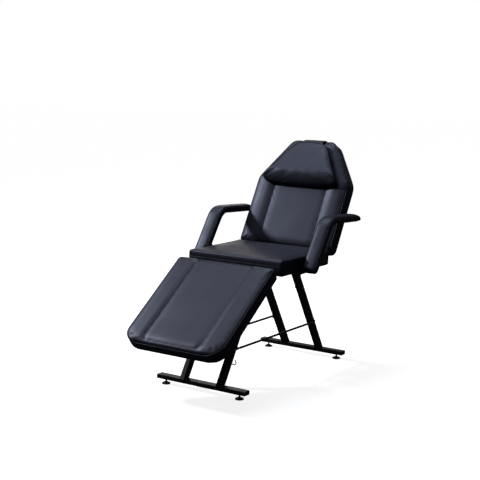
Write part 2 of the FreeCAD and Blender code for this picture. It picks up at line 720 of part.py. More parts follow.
def upholstery(name, sign, start, low, length, width, thickness, crown, rolls, corners, corner_text,
               channelled, placement, shoulder=None, top_half=None):
    """A panel's board, its underside cloth and the cushion that wraps them."""
    half = width / 2
    base = board(sign, start, low, length, half, corner_text, shoulder, top_half)
    outline = cushion_outline(length, half, D.first_corner, corners, shoulder, top_half)
    spots = stations(length, rolls, corners, shoulder)
    form = cushion(sign, start, low, length, thickness, crown, rolls, outline, spots, channelled)
    wrapped = form.cut(base.Shape)
    under = cover(sign, start, low, length, half, shoulder, top_half)
    keep(name + "_cushion", feature(wrapped), placement)
    keep(name + "_board", base, placement.multiply(base.Placement))
    keep(name + "_dust_cover", under, placement.multiply(under.Placement))


# The seat is drawn like the panels, from its front edge back
seat_place = Placement(Vector(0, -D.seat_front, 0), Rotation())
upholstery("seat", 1, 0, seat_base, D.seat_front + D.seat_rear, D.seat_width, D.seat_thickness,
           D.seat_crown, (D.seat_front_roll, D.seat_rear_roll), D.first_corner,
           "first_corner - board_inset", False, seat_place)
upholstery("legrest", -1, D.legrest_start, legrest_under, D.legrest_length, D.legrest_width,
           D.legrest_thickness, D.legrest_crown, (D.legrest_near_roll, D.legrest_far_roll),
           D.legrest_corner, "legrest_corner - board_inset", True, legrest_place)
upholstery("backrest", 1, D.back_start, back_under, D.back_length, D.back_width, D.back_thickness,
           D.back_crown, (D.back_near_roll, D.back_far_roll), D.back_corner,
           "back_corner - board_inset", True, back_place, D.back_shoulder, D.back_top_half)

# Steel frames under the leg rest and the back, drawn flat in their panel's frame


def panel_frame(name, sign, tube_end, cross_spots, top, placement):
    """Two side tubes joined by cross tubes, with a hinge ear against each side tube."""
    low = top + " - tube_size"
    side_y = "tube_start" if sign > 0 else "-" + tube_end
    side_tubes = []
    for side in SIDES.values():
        low_x = "tube_inner_face" if side > 0 else "-tube_inner_face - tube_size"
        side_tubes.append(tube_along(low_x, side_y, low, tube_end + " - tube_start", "y"))
    cross_tubes = []
    for spot in cross_spots:
        cross_y = spot if sign > 0 else "-" + spot + " - tube_size"
        cross_tubes.append(tube_along("-tube_inner_face", cross_y, low, "2 * tube_inner_face", "x"))
    keep(name + "_side_tubes", group(*side_tubes), placement)
    keep(name + "_cross_tubes", group(*cross_tubes), placement)


panel_frame("legrest", -1, "(legrest_start + legrest_length - legrest_tube_gap)",
            ("legrest_cross_one", "(legrest_start + legrest_length - legrest_cross_gap)"),
            "(legrest_drop - legrest_thickness - cover_thickness)", legrest_place)
panel_frame("backrest", 1, "(back_start + back_length - back_tube_gap)",
            ("back_cross_one", "(back_start + back_length - back_cross_gap)"),
            "(back_drop - back_thickness - cover_thickness)", back_place)


def legrest_ear():
    top = legrest_under - D.cover_thickness
    half_height = min(D.ear_radius, top)
    points = [(0, -half_height), (-D.ear_reach, -half_height), (-D.ear_reach, half_height),
              (0, half_height)]
    return ear(points, Vector(0, 0, 0), "ear_radius", "pin_radius + running_play")


def backrest_ear():
    top = back_under - D.cover_thickness
    low = top - D.tube_size
    points = [(-D.ear_radius, 0), (-D.ear_radius, low), (D.ear_reach, low), (D.ear_reach, top - D.ear_gap),
              (D.ear_radius, top - D.ear_gap), (D.ear_radius, 0)]
    return ear(points, Vector(0, 0, 0), "ear_radius", "pin_radius + running_play")


keep("legrest_ears", both_sides(legrest_ear, panel_ear_x), legrest_place)
keep("backrest_ears", both_sides(backrest_ear, panel_ear_x), back_place)

# Bails: bent rods that swing on bolts in the legs and carry the panels


class Bail:
    """Where a bail's cross bar is, seen from the panel that it carries."""

    def __init__(self, end, hinge, panel_angle, sign, bar_depth, ratio, radius):
        self.pivot = Vector(0, leg_y(end, D.bail_pivot_height), D.bail_pivot_height)
        self.hinge = hinge
        self.panel_angle = panel_angle
        self.sign = sign
        self.ratio = ratio
        run, up = self.seen_from_panel(self.pivot, 0)
        level = -bar_depth
        bar_run = run + math.sqrt(radius ** 2 - (level - up) ** 2)
        turn = Rotation(Vector(1, 0, 0), panel_angle)
        self.bar = hinge + turn.multVec(Vector(0, sign * bar_run, level))

    def seen_from_panel(self, point, joint_angle):
        """Run from the hinge along the panel, and height over it."""
        turn = Rotation(Vector(1, 0, 0), self.panel_angle + joint_angle)
        local = turn.inverted().multVec(point - self.hinge)
        return self.sign * local.y, local.z

    def path_point(self, joint_angle):
        swing = Rotation(Vector(1, 0, 0), self.ratio * joint_angle)
        return self.seen_from_panel(self.pivot + swing.multVec(self.bar - self.pivot), joint_angle)

    def lean(self):
        arm = self.bar - self.pivot
        return math.degrees(math.atan2(-arm.y, arm.z))


legrest_bail = Bail("front", legrest_hinge, D.legrest_angle, -1, D.legrest_bar_depth,
                    LEGREST_BAIL_RATIO_SHARE, D.bail_radius)
back_bail = Bail("rear", back_hinge, D.back_angle, 1, D.back_bar_depth,
                 BACK_BAIL_RATIO_SHARE, D.bail_radius)


def bail_shape():
    """A bail standing upright over its pivot: two arms, a cross bar and two bored eyes."""
    half = D.bail_half
    bend = D.bail_bend
    top = D.bail_radius
    quarter = QUARTER_ARC_SHARE * bend
    foot = D.bail_eye_radius - D.bail_rod_radius
    edges = [Part.LineSegment(Vector(-half, 0, foot), Vector(-half, 0, top - bend)).toShape(),
             Part.Arc(Vector(-half, 0, top - bend), Vector(-half + bend - quarter, 0, top - bend + quarter),
                      Vector(-half + bend, 0, top)).toShape(),
             Part.LineSegment(Vector(-half + bend, 0, top), Vector(half - bend, 0, top)).toShape(),
             Part.Arc(Vector(half - bend, 0, top), Vector(half - bend + quarter, 0, top - bend + quarter),
                      Vector(half, 0, top - bend)).toShape(),
             Part.LineSegment(Vector(half, 0, top - bend), Vector(half, 0, foot)).toShape()]
    shape = wire(edges, D.bail_rod_radius)
    for side in SIDES.values():
        low = side * half - D.bail_eye / 2
        eye = Part.makeCylinder(D.bail_eye_radius, D.bail_eye, Vector(low, 0, 0), along_x(1))
        shape = shape.fuse(eye)
    for side in SIDES.values():
        low = side * half - D.bail_eye / 2 - D.overrun
        bore = Part.makeCylinder(D.bolt_radius + D.running_play, D.bail_eye + 2 * D.overrun,
                                 Vector(low, 0, 0), along_x(1))
        shape = shape.cut(bore)
    return shape.removeSplitter()


for name, bail in (("legrest_bail", legrest_bail), ("backrest_bail", back_bail)):
    keep(name, feature(bail_shape()), Placement(bail.pivot, Rotation(Vector(1, 0, 0), bail.lean())))

# Racks: slotted plates under each panel, in which the bail's cross bar rides


def rack(bail, top, joint_range):
    """One rack at the middle plane: a web with a curved slot, notched below, and a screwed flange."""
    first, last = joint_range
    track = [bail.path_point(first + share * (last - first)) for share in ARC_STEPS_SHARE]
    sign = bail.sign
    room = D.bail_rod_radius + D.rack_play
    half_web = D.rack_web / 2 + D.overrun

    def point(run, up):
        return Vector(0, sign * run, up)

    lane = Part.BSplineCurve()
    lane.interpolate([point(run, up) for run, up in track])
    edge = lane.toShape()
    start = edge.valueAt(edge.FirstParameter)
    across = edge.tangentAt(edge.FirstParameter).cross(Vector(1, 0, 0)) * room
    half = Vector(half_web, 0, 0)
    corners = [start + across - half, start + across + half, start - across + half, start - across - half]
    slot = Part.Wire([edge]).makePipeShell([Part.makePolygon(corners + corners[:1])], True, False)
    for run, up in (track[0], track[-1]):
        slot = slot.fuse(Part.makeCylinder(room, 2 * half_web, point(run, up) - half, along_x(1)))
    for index in range(1, int(edge.Length / D.rack_pitch)):
        share = index * D.rack_pitch / edge.Length
        parameter = edge.FirstParameter + share * (edge.LastParameter - edge.FirstParameter)
        spot = edge.valueAt(parameter) - Vector(0, 0, D.rack_notch)
        slot = slot.fuse(Part.makeCylinder(D.bail_rod_radius, 2 * half_web, spot - half, along_x(1)))
    runs = [run for run, up in track]
    bottom = min(up for run, up in track) - room - D.rack_margin
    near = min(runs) - room - D.rack_margin
    far = max(runs) + room + D.rack_margin
    corner = Vector(-D.rack_web / 2, near if sign > 0 else -far, bottom)
    web = Part.makeBox(D.rack_web, far - near, top - bottom, corner)
    flange = Part.makeBox(D.rack_flange, far - near, D.rack_web,
                          Vector(corner.x, corner.y, top - D.rack_web))
    return web.fuse(flange).cut(slot).removeSplitter()


def racks(bail, top, joint_range):
    made = rack(bail, top, joint_range)
    left = made.copy()
    left.translate(Vector(D.rack_half, 0, 0))
    right = made.mirror(Vector(0, 0, 0), Vector(1, 0, 0))
    right.translate(Vector(-D.rack_half, 0, 0))
    return feature(Part.makeCompound([left, right]))


LEGREST_TRAVEL = (-D.legrest_angle, LEGREST_DOWN_ANGLE)
BACK_TRAVEL = (-D.back_angle, 0)
keep("legrest_racks", racks(legrest_bail, legrest_under - D.cover_thickness, LEGREST_TRAVEL), legrest_place)
keep("backrest_racks", racks(back_bail, back_under - D.cover_thickness, BACK_TRAVEL), back_place)

# Head pillow: thin at the top, a thick roll at the bottom, hung over the top of the back by a flap

pillow_high = D.back_start + D.back_length - D.pillow_top_gap
pillow_low = pillow_high - D.pillow_length


def pillow_section(x, low, high, roll, thin):
    """A closed wire along the back at a distance x from the middle."""
    base = D.back_drop + D.back_crown + D.side_lean + D.pillow_lift
    near, far, middle = TOP_END_SHARES

    def point(run, up):
        return Vector(x, run, base + up)

    foot = point(low + roll * ROLL_FOOT_SHARE, 0)
    front = point(low + roll * ROLL_FRONT_SHARE, roll / 2)
    crest_run = low + roll * ROLL_CREST_SHARE
    crest = point(crest_run, roll)
    slope = point((crest_run + high) / 2, (roll + thin) * SLOPE_FULLNESS_SHARE)
    brow = point(high - thin * near, thin)
    heel = point(high - thin * far, 0)
    edges = [Part.LineSegment(heel, foot), Part.Arc(foot, front, crest), Part.Arc(crest, slope, brow),
             Part.Arc(brow, point(high, thin * middle), heel)]
    return Part.Wire(Part.__sortEdges__([edge.toShape() for edge in edges]))


def pillow():
    right_half = [(-across, along) for across, along in PILLOW_BELL_SHARES[:0:-1]]
    wires = []
    for across, along in right_half + list(PILLOW_BELL_SHARES):
        out = abs(across)
        full = math.sqrt(1 - out ** 4)
        roll = D.pillow_roll * (PILLOW_END_FULLNESS_SHARE + (1 - PILLOW_END_FULLNESS_SHARE) * full)
        down = 1 - max(0, along - PILLOW_CREST_SHARE) / (1 - PILLOW_CREST_SHARE)
        wedge = D.pillow_thin + (D.pillow_roll - D.pillow_thin) * down
        thin = min(wedge * (1 + full) / 2, roll * PILLOW_BROW_SHARE)
        low = pillow_low + D.pillow_end_rise * out ** 3
        high = pillow_low + D.pillow_length * along
        wires.append(pillow_section(across * D.pillow_half, low, high, roll, thin))
    return Part.makeLoft(wires, True, True)


def flap():
    """The band from the pillow over the top of the back and down behind it."""
    front_low = D.back_drop + D.back_crown + D.side_lean + D.pillow_lift
    top = D.back_start + D.back_length + D.flap_clearance
    back = back_under - D.cover_thickness - D.flap_clearance
    near = pillow_high
    low_end = D.back_start + D.back_length - D.flap_drop
    outer_top = top + D.flap_thickness
    outer_back = back - D.flap_thickness
    outer_front = front_low + D.flap_thickness
    points = [(near, front_low), (near, outer_front), (outer_top, outer_front), (outer_top, outer_back),
              (low_end, outer_back), (low_end, back), (top, back), (top, front_low)]
    return plate("YZ_Plane", polygon(points), "2 * flap_half")


keep("head_pillow", feature(pillow()), back_place)
keep("pillow_flap", flap(), back_place)

# Armrests: a steel core in a padded sleeve that rises from the seat's side and runs back level

arm_middle = D.seat_width / 2 + D.arm_gap + D.arm_width / 2
arm_level = D.seat_top + D.arm_height


def arm_path():
    """Points and directions along an armrest's middle line, in the side view."""
    tilt = math.radians(D.arm_tilt)
    fall = math.radians(D.arm_fall)
    forward = (math.cos(tilt), math.sin(tilt))
    knee_y = -D.seat_front + D.arm_knee
    low_z = D.seat_top - D.arm_low
    low_y = knee_y - (arm_level - low_z) / math.tan(tilt)
    tangent_length = D.arm_bend * math.tan((tilt + fall) / 2)
    bend_start = (knee_y - tangent_length * forward[0], arm_level - tangent_length * forward[1])
    centre = (bend_start[0] + D.arm_bend * forward[1], bend_start[1] - D.arm_bend * forward[0])
    spots = [((low_y, low_z), D.arm_tilt)]
    for share in ARC_STEPS_SHARE:
        angle = tilt - (tilt + fall) * share
        spots.append(((centre[0] - D.arm_bend * math.sin(angle), centre[1] + D.arm_bend * math.cos(angle)),
                      math.degrees(angle)))
    tail_y = -D.seat_front + D.arm_tail
    spots.append(((tail_y, arm_level - (tail_y - knee_y) * math.tan(fall)), -D.arm_fall))
    return spots


def between(first, last, share):
    (y_one, z_one), angle_one = first
    (y_two, z_two), angle_two = last
    return ((y_one + (y_two - y_one) * share, z_one + (z_two - z_one) * share),
            angle_one + (angle_two - angle_one) * share)


def rounded_section(spot, width, thickness, corner, middle):
    """A rounded rectangle square to the path."""
    (y, z), angle = spot
    turn = math.radians(angle)
    normal = (-math.sin(turn), math.cos(turn))

    def point(across, up):
        return Vector(middle + across, y + normal[0] * up, z + normal[1] * up)

    half_w = width / 2
    half_t = thickness / 2
    bulge = corner * (1 - QUARTER_ARC_SHARE)
    edges = []
    for sx, sz in ((1, 1), (-1, 1), (-1, -1), (1, -1)):
        along = point(sx * (half_w - corner), sz * half_t)
        down = point(sx * half_w, sz * (half_t - corner))
        middle_point = point(sx * (half_w - bulge), sz * (half_t - bulge))
        if sx * sz > 0:
            edges.append(Part.Arc(down, middle_point, along))
            edges.append(Part.LineSegment(along, point(-sx * (half_w - corner), sz * half_t)))
        else:
            edges.append(Part.Arc(along, middle_point, down))
            edges.append(Part.LineSegment(down, point(sx * half_w, -sz * (half_t - corner))))
    return Part.Wire([edge.toShape() for edge in edges])


def arm_pad(middle):
    path = arm_path()
    round_share = D.arm_thickness / 2 / math.dist(path[0][0], path[1][0])
    spots = [(between(path[0], path[1], share * round_share), thin, narrow)
             for share, thin, narrow in ARM_FOOT_SHARES]
    spots += [(spot, 1, 1) for spot in path[1:]]
    (tail_y, tail_z), angle = path[-1]
    for share, thin, narrow in ARM_TIP_SHARES:
        run = D.arm_tip * share
        drop = run * math.tan(math.radians(D.arm_fall)) + D.arm_droop * share ** 2
        spots.append((((tail_y + run, tail_z - drop), angle), thin, narrow))
    wires = [rounded_section(spot, D.arm_width * narrow, D.arm_thickness * thin, D.arm_corner * thin,
                             middle)
             for spot, thin, narrow in spots]
    return Part.makeLoft(wires, True, True)


def arm_core(middle):
    path = arm_path()
    start_share = D.core_end_gap / math.dist(path[0][0], path[1][0])
    spots = [between(path[0], path[1], start_share)] + path[1:]
    wires = [rounded_section(spot, D.core_width, D.core_thickness, D.core_corner, middle) for spot in spots]
    return Part.makeLoft(wires, True, True)


def arm_bolt_spots():
    """Two places on the post's middle line for the bolts into the core."""
    path = arm_path()
    run = math.dist(path[0][0], path[1][0])
    alongs = (D.arm_bolt_low, D.arm_bolt_low + D.arm_bolt_pitch)
    return [between(path[0], path[1], along / run)[0] for along in alongs]


bracket_face = D.seat_width / 2 + D.arm_gap - D.bracket_play
arm_bolts = []
for side, sign in SIDES.items():
    pad_shape = arm_pad(sign * arm_middle)
    core_shape = arm_core(sign * arm_middle)
    shank_length = D.bracket_thickness + D.bracket_play + D.arm_width / 2
    head_face = bracket_face - D.bracket_thickness
    for y, z in arm_bolt_spots():
        start = Vector(sign * head_face, y, z)
        drill = Part.makeCylinder(D.bolt_radius, shank_length, start, along_x(sign))
        pad_shape = pad_shape.cut(drill)
        core_shape = core_shape.cut(drill)
        head = rod("bolt_head_radius", "arm_bolt_head", start, along_x(-sign))
        shank = rod("bolt_radius", "bracket_thickness + bracket_play + arm_width / 2", start, along_x(sign))
        arm_bolts.append(fuse(head, shank))
    keep("arm_pad_" + side, feature(pad_shape.cut(core_shape)))
    keep("arm_core_" + side, feature(core_shape))
    first_y = arm_bolt_spots()[0][0]
    outer = bracket_face
    inner = bracket_face - D.bracket_thickness
    low = frame_top - D.bracket_thickness
    corner_points = [(inner - D.bracket_run, low), (outer, low), (outer, low + D.bracket_rise),
                     (inner, low + D.bracket_rise), (inner, frame_top), (inner - D.bracket_run, frame_top)]
    bracket = plate("XZ_Plane", polygon([(sign * x, z) for x, z in corner_points]), "bracket_width")
    bracket.Placement = Placement(Vector(0, first_y + D.bracket_shift, 0), Rotation())
    drills = [rod("bolt_radius + bolt_play", "bracket_thickness + 2 * overrun",
                  Vector(sign * (inner - D.overrun), y, z), along_x(sign)) for y, z in arm_bolt_spots()]
    keep("arm_bracket_" + side, cut(bracket, *drills))
keep("arm_bolts", group(*arm_bolts))

# Put the origin on the floor, under the middle of the whole chair's box

doc.recompute()
whole = FreeCAD.BoundBox()
for piece in PARTS.values():
    whole.add(piece.Shape.BoundBox)
shift = Vector(0, -whole.Center.y, 0)
for piece in PARTS.values():
    piece.Placement = Placement(shift, Rotation()) * piece.Placement
doc.recompute()

# Check every object, then write the pieces

faults = [item.Name for item in doc.Objects if "Invalid" in item.State or "Error" in item.State]
if faults:
    raise RuntimeError("objects that failed: " + ", ".join(faults))
os.makedirs("parts", exist_ok=True)
for label, piece in PARTS.items():
    if piece.Shape.isNull() or not piece.Shape.isValid():
        raise RuntimeError("bad shape: " + label)
    piece.Shape.exportStep("parts/%s.step" % label)

print("pieces", len(PARTS), "box", whole)
print("legrest hinge", legrest_hinge + shift, "back hinge", back_hinge + shift)
print("legrest bail pivot", legrest_bail.pivot + shift, "back bail pivot", back_bail.pivot + shift)
for name, bail, (first, last) in (("legrest", legrest_bail, LEGREST_TRAVEL),
                                  ("back", back_bail, BACK_TRAVEL)):
    track = [bail.path_point(first + share * (last - first)) for share in ARC_STEPS_SHARE]
    print(name, "bar path", [(round(run, 1), round(up, 1)) for run, up in track])
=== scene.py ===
# %% [markdown]
# # A padded treatment chair
# The steel stand, the hinges and the wire props come from the CAD model as they are and only
# get their finishes here. The upholstery is made in this file: cushions, pillow, armrests,
# piping, stitches and staples. Lengths are in metres, and the chair keeps the CAD's own frame:
# +X to the sitter's left, -Y to the feet, +Z up.

import json
import math

import bmesh
import bpy
import numpy as np
from mathutils import Matrix, Vector, noise
from mathutils.bvhtree import BVHTree


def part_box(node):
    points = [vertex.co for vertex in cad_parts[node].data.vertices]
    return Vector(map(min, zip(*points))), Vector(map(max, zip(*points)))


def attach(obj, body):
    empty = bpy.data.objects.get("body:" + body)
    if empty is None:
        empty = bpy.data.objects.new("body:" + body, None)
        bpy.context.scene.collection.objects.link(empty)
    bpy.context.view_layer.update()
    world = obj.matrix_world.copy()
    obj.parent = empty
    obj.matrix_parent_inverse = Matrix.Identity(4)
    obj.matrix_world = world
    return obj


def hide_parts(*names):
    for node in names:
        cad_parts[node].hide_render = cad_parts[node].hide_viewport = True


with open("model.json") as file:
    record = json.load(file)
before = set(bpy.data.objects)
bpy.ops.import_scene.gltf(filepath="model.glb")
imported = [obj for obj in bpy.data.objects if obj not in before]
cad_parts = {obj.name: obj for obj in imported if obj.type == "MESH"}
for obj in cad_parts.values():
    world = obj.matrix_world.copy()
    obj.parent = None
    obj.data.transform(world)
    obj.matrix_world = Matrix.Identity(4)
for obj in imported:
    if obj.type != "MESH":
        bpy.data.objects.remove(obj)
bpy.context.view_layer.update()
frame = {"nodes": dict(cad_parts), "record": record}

# %% [markdown]
# ## Small helpers
# Colours are written the way a paint chip or a photo editor gives them, as sRGB hex. Shaders
# work in linear light, so one function converts them. Another adds a shader or geometry node
# with its settings and links in one line, and one places a new object in the scene. The rest are
# the few steps that every finish repeats: a noise, a mix of two colours, a stretch of values, and
# the shader at the end.

# %% Colours and nodes
def rgb(chip):
    parts = [int(chip[i:i + 2], 16) / 255 for i in (1, 3, 5)]
    return tuple(c / 12.92 if c <= 0.04045 else ((c + 0.055) / 1.055) ** 2.4 for c in parts) + (1.0,)


def add(tree, kind, inputs=None, **settings):
    made = tree.nodes.new(kind)
    for name, value in settings.items():
        setattr(made, name, value)
    for name, value in (inputs or {}).items():
        if isinstance(value, bpy.types.NodeSocket):
            tree.links.new(value, made.inputs[name])
        else:
            made.inputs[name].default_value = value
    return made


def blank_material(name):
    """A new material, its empty node tree, and the Object coordinates that its patterns lie on."""
    material = bpy.data.materials.new(name)
    material.use_nodes = True
    tree = material.node_tree
    tree.nodes.clear()
    return material, tree, add(tree, "ShaderNodeTexCoord").outputs["Object"]


def grain(tree, place, scale, detail, roughness=0.5):
    return add(tree, "ShaderNodeTexNoise", {"Vector": place, "Scale": scale, "Detail": detail,
                                            "Roughness": roughness}).outputs["Fac"]


def mixed(tree, share, first, second):
    return add(tree, "ShaderNodeMixRGB", {"Fac": share, "Color1": first, "Color2": second}).outputs["Color"]


def brighter(chip, times):
    return tuple(c * times for c in rgb(chip)[:3]) + (1.0,)


def spread(tree, share, low, high, span=(0.0, 1.0)):
    """A pattern's values between the two ends of span, stretched to run from low to high."""
    return add(tree, "ShaderNodeMapRange", {"Value": share, "From Min": span[0], "From Max": span[1],
                                            "To Min": low, "To Max": high}).outputs["Result"]


def end_with_shader(tree, colour, roughness, relief=None, **more):
    """The shader that ends a finish; relief is a pattern, the bump's strength and its depth."""
    inputs = {"Base Color": colour, "Roughness": roughness}
    inputs.update({name.replace("_", " "): value for name, value in more.items()})
    if relief:
        inputs["Normal"] = add(tree, "ShaderNodeBump", {"Height": relief[0], "Strength": relief[1],
                                                        "Distance": relief[2]}).outputs["Normal"]
    shader = add(tree, "ShaderNodeBsdfPrincipled", inputs)
    add(tree, "ShaderNodeOutputMaterial", {"Surface": shader.outputs["BSDF"]})


def placed(name, data):
    """A new object, linked into the scene."""
    made = bpy.data.objects.new(name, data)
    bpy.context.collection.objects.link(made)
    return made


print("grey chip in linear light:", [round(c, 4) for c in rgb("#4a4d58")[:3]])

# %% [markdown]
# ## Synthetic leather
# The cushions are covered in black polyurethane-coated cloth. The coating is embossed with a fine
# pebble grain and has a soft satin shine, so a lit face looks blue-grey and a face turned away
# looks nearly black. The grain comes from a Voronoi pattern on Object coordinates, so it never
# slides. Real pebbles are about 1 mm wide; they are drawn 1.8 mm wide, so that they just show.
# Broad, faint noise varies the shine, as handling and stretched foam do. Sewn valleys carry an
# attribute that marks them, and shade is painted into the coating's colour there, so it looks darker and
# duller.

# %% Leather material
PEBBLE = 0.0018
MIDDLE = (0.3, 0.7)  # where most of a noise's values lie


def leatherette(name, chip, rough=0.46):
    material, tree, place = blank_material(name)
    pebbles = add(tree, "ShaderNodeTexVoronoi", {"Vector": place, "Scale": 1 / PEBBLE}, feature="SMOOTH_F1")
    creases = grain(tree, place, 240.0, 3.0)
    handling = grain(tree, place, 7.0, 4.0, 0.6)
    groove_shade = add(tree, "ShaderNodeAttribute", attribute_name="groove_shade")
    tone = mixed(tree, handling, rgb(chip), brighter(chip, 1.35))
    # Painted shade: the colour turns near black in the sewn valleys that the attribute marks.
    shaded = mixed(tree, groove_shade.outputs["Fac"], tone, rgb("#0b0c10"))
    shine = spread(tree, handling, rough - 0.05, rough + 0.06, MIDDLE)
    height = add(tree, "ShaderNodeMath", {0: pebbles.outputs["Distance"], 1: creases}, operation="ADD")
    end_with_shader(tree, shaded, shine, (height.outputs["Value"], 0.22, 0.0006), IOR=1.5,
                    Specular_IOR_Level=0.36, Specular_Tint=rgb("#d6e0ff"))
    return material


leather = leatherette("black synthetic leather", "#202129")
piping_leather = leatherette("black synthetic leather piping", "#191a20", 0.42)
print("leather made:", leather.name, piping_leather.name)

# %% [markdown]
# ## Metal, plastic, thread and cloth
# The stand is mild steel tube under satin black powder coat, which is baked on as a dust and keeps
# a faint orange-peel ripple about 2 mm wide. Bolts and nuts are zinc plated: bright but cloudy.
# The feet and end caps are moulded nylon, duller than the paint. The backs of the panels are
# closed with a thin non-woven cloth, stapled to plywood.

# %% Hard finishes
def powder_coat(name, chip):
    material, tree, place = blank_material(name)
    peel = grain(tree, place, 420.0, 2.0)
    rubbed = grain(tree, place, 22.0, 5.0, 0.65)
    tone = mixed(tree, rubbed, rgb(chip), brighter(chip, 1.5))
    shine = spread(tree, rubbed, 0.34, 0.5, MIDDLE)
    end_with_shader(tree, tone, shine, (peel, 0.12, 0.0004), IOR=1.5, Specular_IOR_Level=0.35)
    return material


def zinc_plate(name):
    material, tree, place = blank_material(name)
    clouds = grain(tree, place, 300.0, 4.0)
    tone = mixed(tree, clouds, rgb("#a3a6a8"), rgb("#c9cbcb"))
    end_with_shader(tree, tone, spread(tree, clouds, 0.25, 0.45), Metallic=1.0)
    return material


def moulded_nylon(name, chip):
    material, tree, place = blank_material(name)
    spark = grain(tree, place, 900.0, 2.0)
    scuff = grain(tree, place, 60.0, 4.0)
    tone = mixed(tree, scuff, rgb(chip), brighter(chip, 1.6))
    end_with_shader(tree, tone, 0.55, (spark, 0.2, 0.0003), IOR=1.52)
    return material


paint = powder_coat("satin black powder coat", "#161616")
zinc = zinc_plate("zinc plated steel")
nylon = moulded_nylon("moulded black nylon", "#0f0f10")
print("hard finishes:", paint.name, zinc.name, nylon.name)


# %% Cloth, plywood and thread
def backing_cloth(name, chip):
    # Non-woven cloth shows its dimpled emboss, 2 mm apart, and no thread
    material, tree, place = blank_material(name)
    dimples = add(tree, "ShaderNodeTexVoronoi", {"Vector": place, "Scale": 500.0, "Randomness": 0.35})
    tone = mixed(tree, grain(tree, place, 900.0, 4.0), rgb(chip), rgb("#2b2b2d"))
    end_with_shader(tree, tone, 0.9, (dimples.outputs["Distance"], 0.4, 0.0005), Sheen_Weight=0.3)
    return material


def plywood(name):
    # Birch face veneer: long pale figure along the board, 6 mm apart, with darker pores
    material, tree, place = blank_material(name)
    stretched = add(tree, "ShaderNodeMapping", {"Vector": place, "Scale": (1.0, 14.0, 14.0)})
    figure = grain(tree, stretched.outputs["Vector"], 12.0, 6.0)
    end_with_shader(tree, mixed(tree, figure, rgb("#a98757"), rgb("#d3b583")), 0.7)
    return material


def sewing_thread(name):
    # Bonded polyester thread, a little shinier than the coating it is sewn into
    material, tree, place = blank_material(name)
    twist = add(tree, "ShaderNodeTexWave", {"Vector": place, "Scale": 500.0})
    end_with_shader(tree, mixed(tree, twist.outputs["Fac"], rgb("#1d1d20"), rgb("#303036")), 0.5)
    return material


cloth = backing_cloth("black non-woven backing cloth", "#141415")
birch = plywood("birch plywood")
thread = sewing_thread("black bonded thread")
print("soft and wooden finishes:", cloth.name, birch.name, thread.name)

# %% [markdown]
# ## Finishes on the CAD pieces
# Each CAD piece already has its own record slot, such as black_steel. A dictionary from slot to
# material is enough to paint the whole stand, and a new piece in the CAD gets its finish at once.

# %% Paint the CAD pieces
FINISH = {"black_steel": paint, "zinc_steel": zinc, "black_plastic": nylon, "black_cloth": cloth,
          "plywood": birch, "black_leatherette": leather}
slot_of = {part["node"]: part["material_slot"] for part in frame["record"]["subparts"]}
for name, piece in frame["nodes"].items():
    piece.data.materials.clear()
    piece.data.materials.append(FINISH[slot_of[name]])
print("painted", len(frame["nodes"]), "CAD pieces")

# %% [markdown]
# ## Camera
# The photograph is taken from the sitter's left and front, a little above the seat, with a long
# lens. The numbers below were fitted to the corners of the feet, legs and cushions in the picture.
# The lens is given as on a 36 mm wide sensor.

# %% Camera
AZIMUTH = math.radians(33.673)
ELEVATION = math.radians(8.566)
ROLL = math.radians(1.084)
CAMERA_PLACE = Vector((3.11619, -4.79160, 1.60019))
LENS = 80.11

behind = Vector((math.sin(AZIMUTH) * math.cos(ELEVATION), -math.cos(AZIMUTH) * math.cos(ELEVATION),
                 math.sin(ELEVATION)))
level_right = Vector((math.cos(AZIMUTH), math.sin(AZIMUTH), 0))
level_up = behind.cross(level_right)
right = math.cos(ROLL) * level_right + math.sin(ROLL) * level_up
upward = math.cos(ROLL) * level_up - math.sin(ROLL) * level_right
camera = placed("camera", bpy.data.cameras.new("camera"))
turned = Matrix((right, upward, behind)).transposed().to_4x4()
camera.matrix_world = Matrix.Translation(CAMERA_PLACE) @ turned
camera.data.lens = LENS
camera.data.sensor_width = 36.0
bpy.context.scene.camera = camera
print("camera at", tuple(round(v, 3) for v in CAMERA_PLACE))

# %% [markdown]
# ## White studio
# The picture has a plain white ground. A bright floor and world would also flood the chair with
# light, so both are white only for rays that come straight from the camera, and are dim for the
# rest. The floor glows a little less within a metre of the chair than far off, where the lamps
# hardly reach: it looks evenly white, and still shows a soft shadow under the chair.

# %% Floor and world
GLOW_REACH = (1.0, 4.0)  # metres from the chair over which the floor's own glow grows
FLOOR_HALF = 40


def stage_floor():
    mesh = bpy.data.meshes.new("studio_floor")
    corners = [(x * FLOOR_HALF, y * FLOOR_HALF, 0) for x, y in ((-1, -1), (1, -1), (1, 1), (-1, 1))]
    mesh.from_pydata(corners, [], [(0, 1, 2, 3)])
    material, tree, place = blank_material("white studio floor")
    ray = add(tree, "ShaderNodeLightPath")
    paper = mixed(tree, ray.outputs["Is Camera Ray"], rgb("#303030"), rgb("#e6e6e6"))
    matte = add(tree, "ShaderNodeBsdfDiffuse", {"Color": paper})
    mirrored = add(tree, "ShaderNodeMath", {0: ray.outputs["Is Glossy Ray"], 1: 0.01}, operation="MULTIPLY")
    far = add(tree, "ShaderNodeVectorMath", {0: place}, operation="LENGTH")
    level = spread(tree, far.outputs["Value"], 0.85, 0.96, GLOW_REACH)
    seen = add(tree, "ShaderNodeMath", {0: ray.outputs["Is Camera Ray"], 1: level,
                                        2: mirrored.outputs["Value"]}, operation="MULTIPLY_ADD")
    glow = add(tree, "ShaderNodeEmission", {"Strength": seen.outputs["Value"]})
    both = add(tree, "ShaderNodeAddShader", {0: matte.outputs["BSDF"], 1: glow.outputs["Emission"]})
    add(tree, "ShaderNodeOutputMaterial", {"Surface": both.outputs["Shader"]})
    mesh.materials.append(material)
    return placed("studio_floor", mesh)


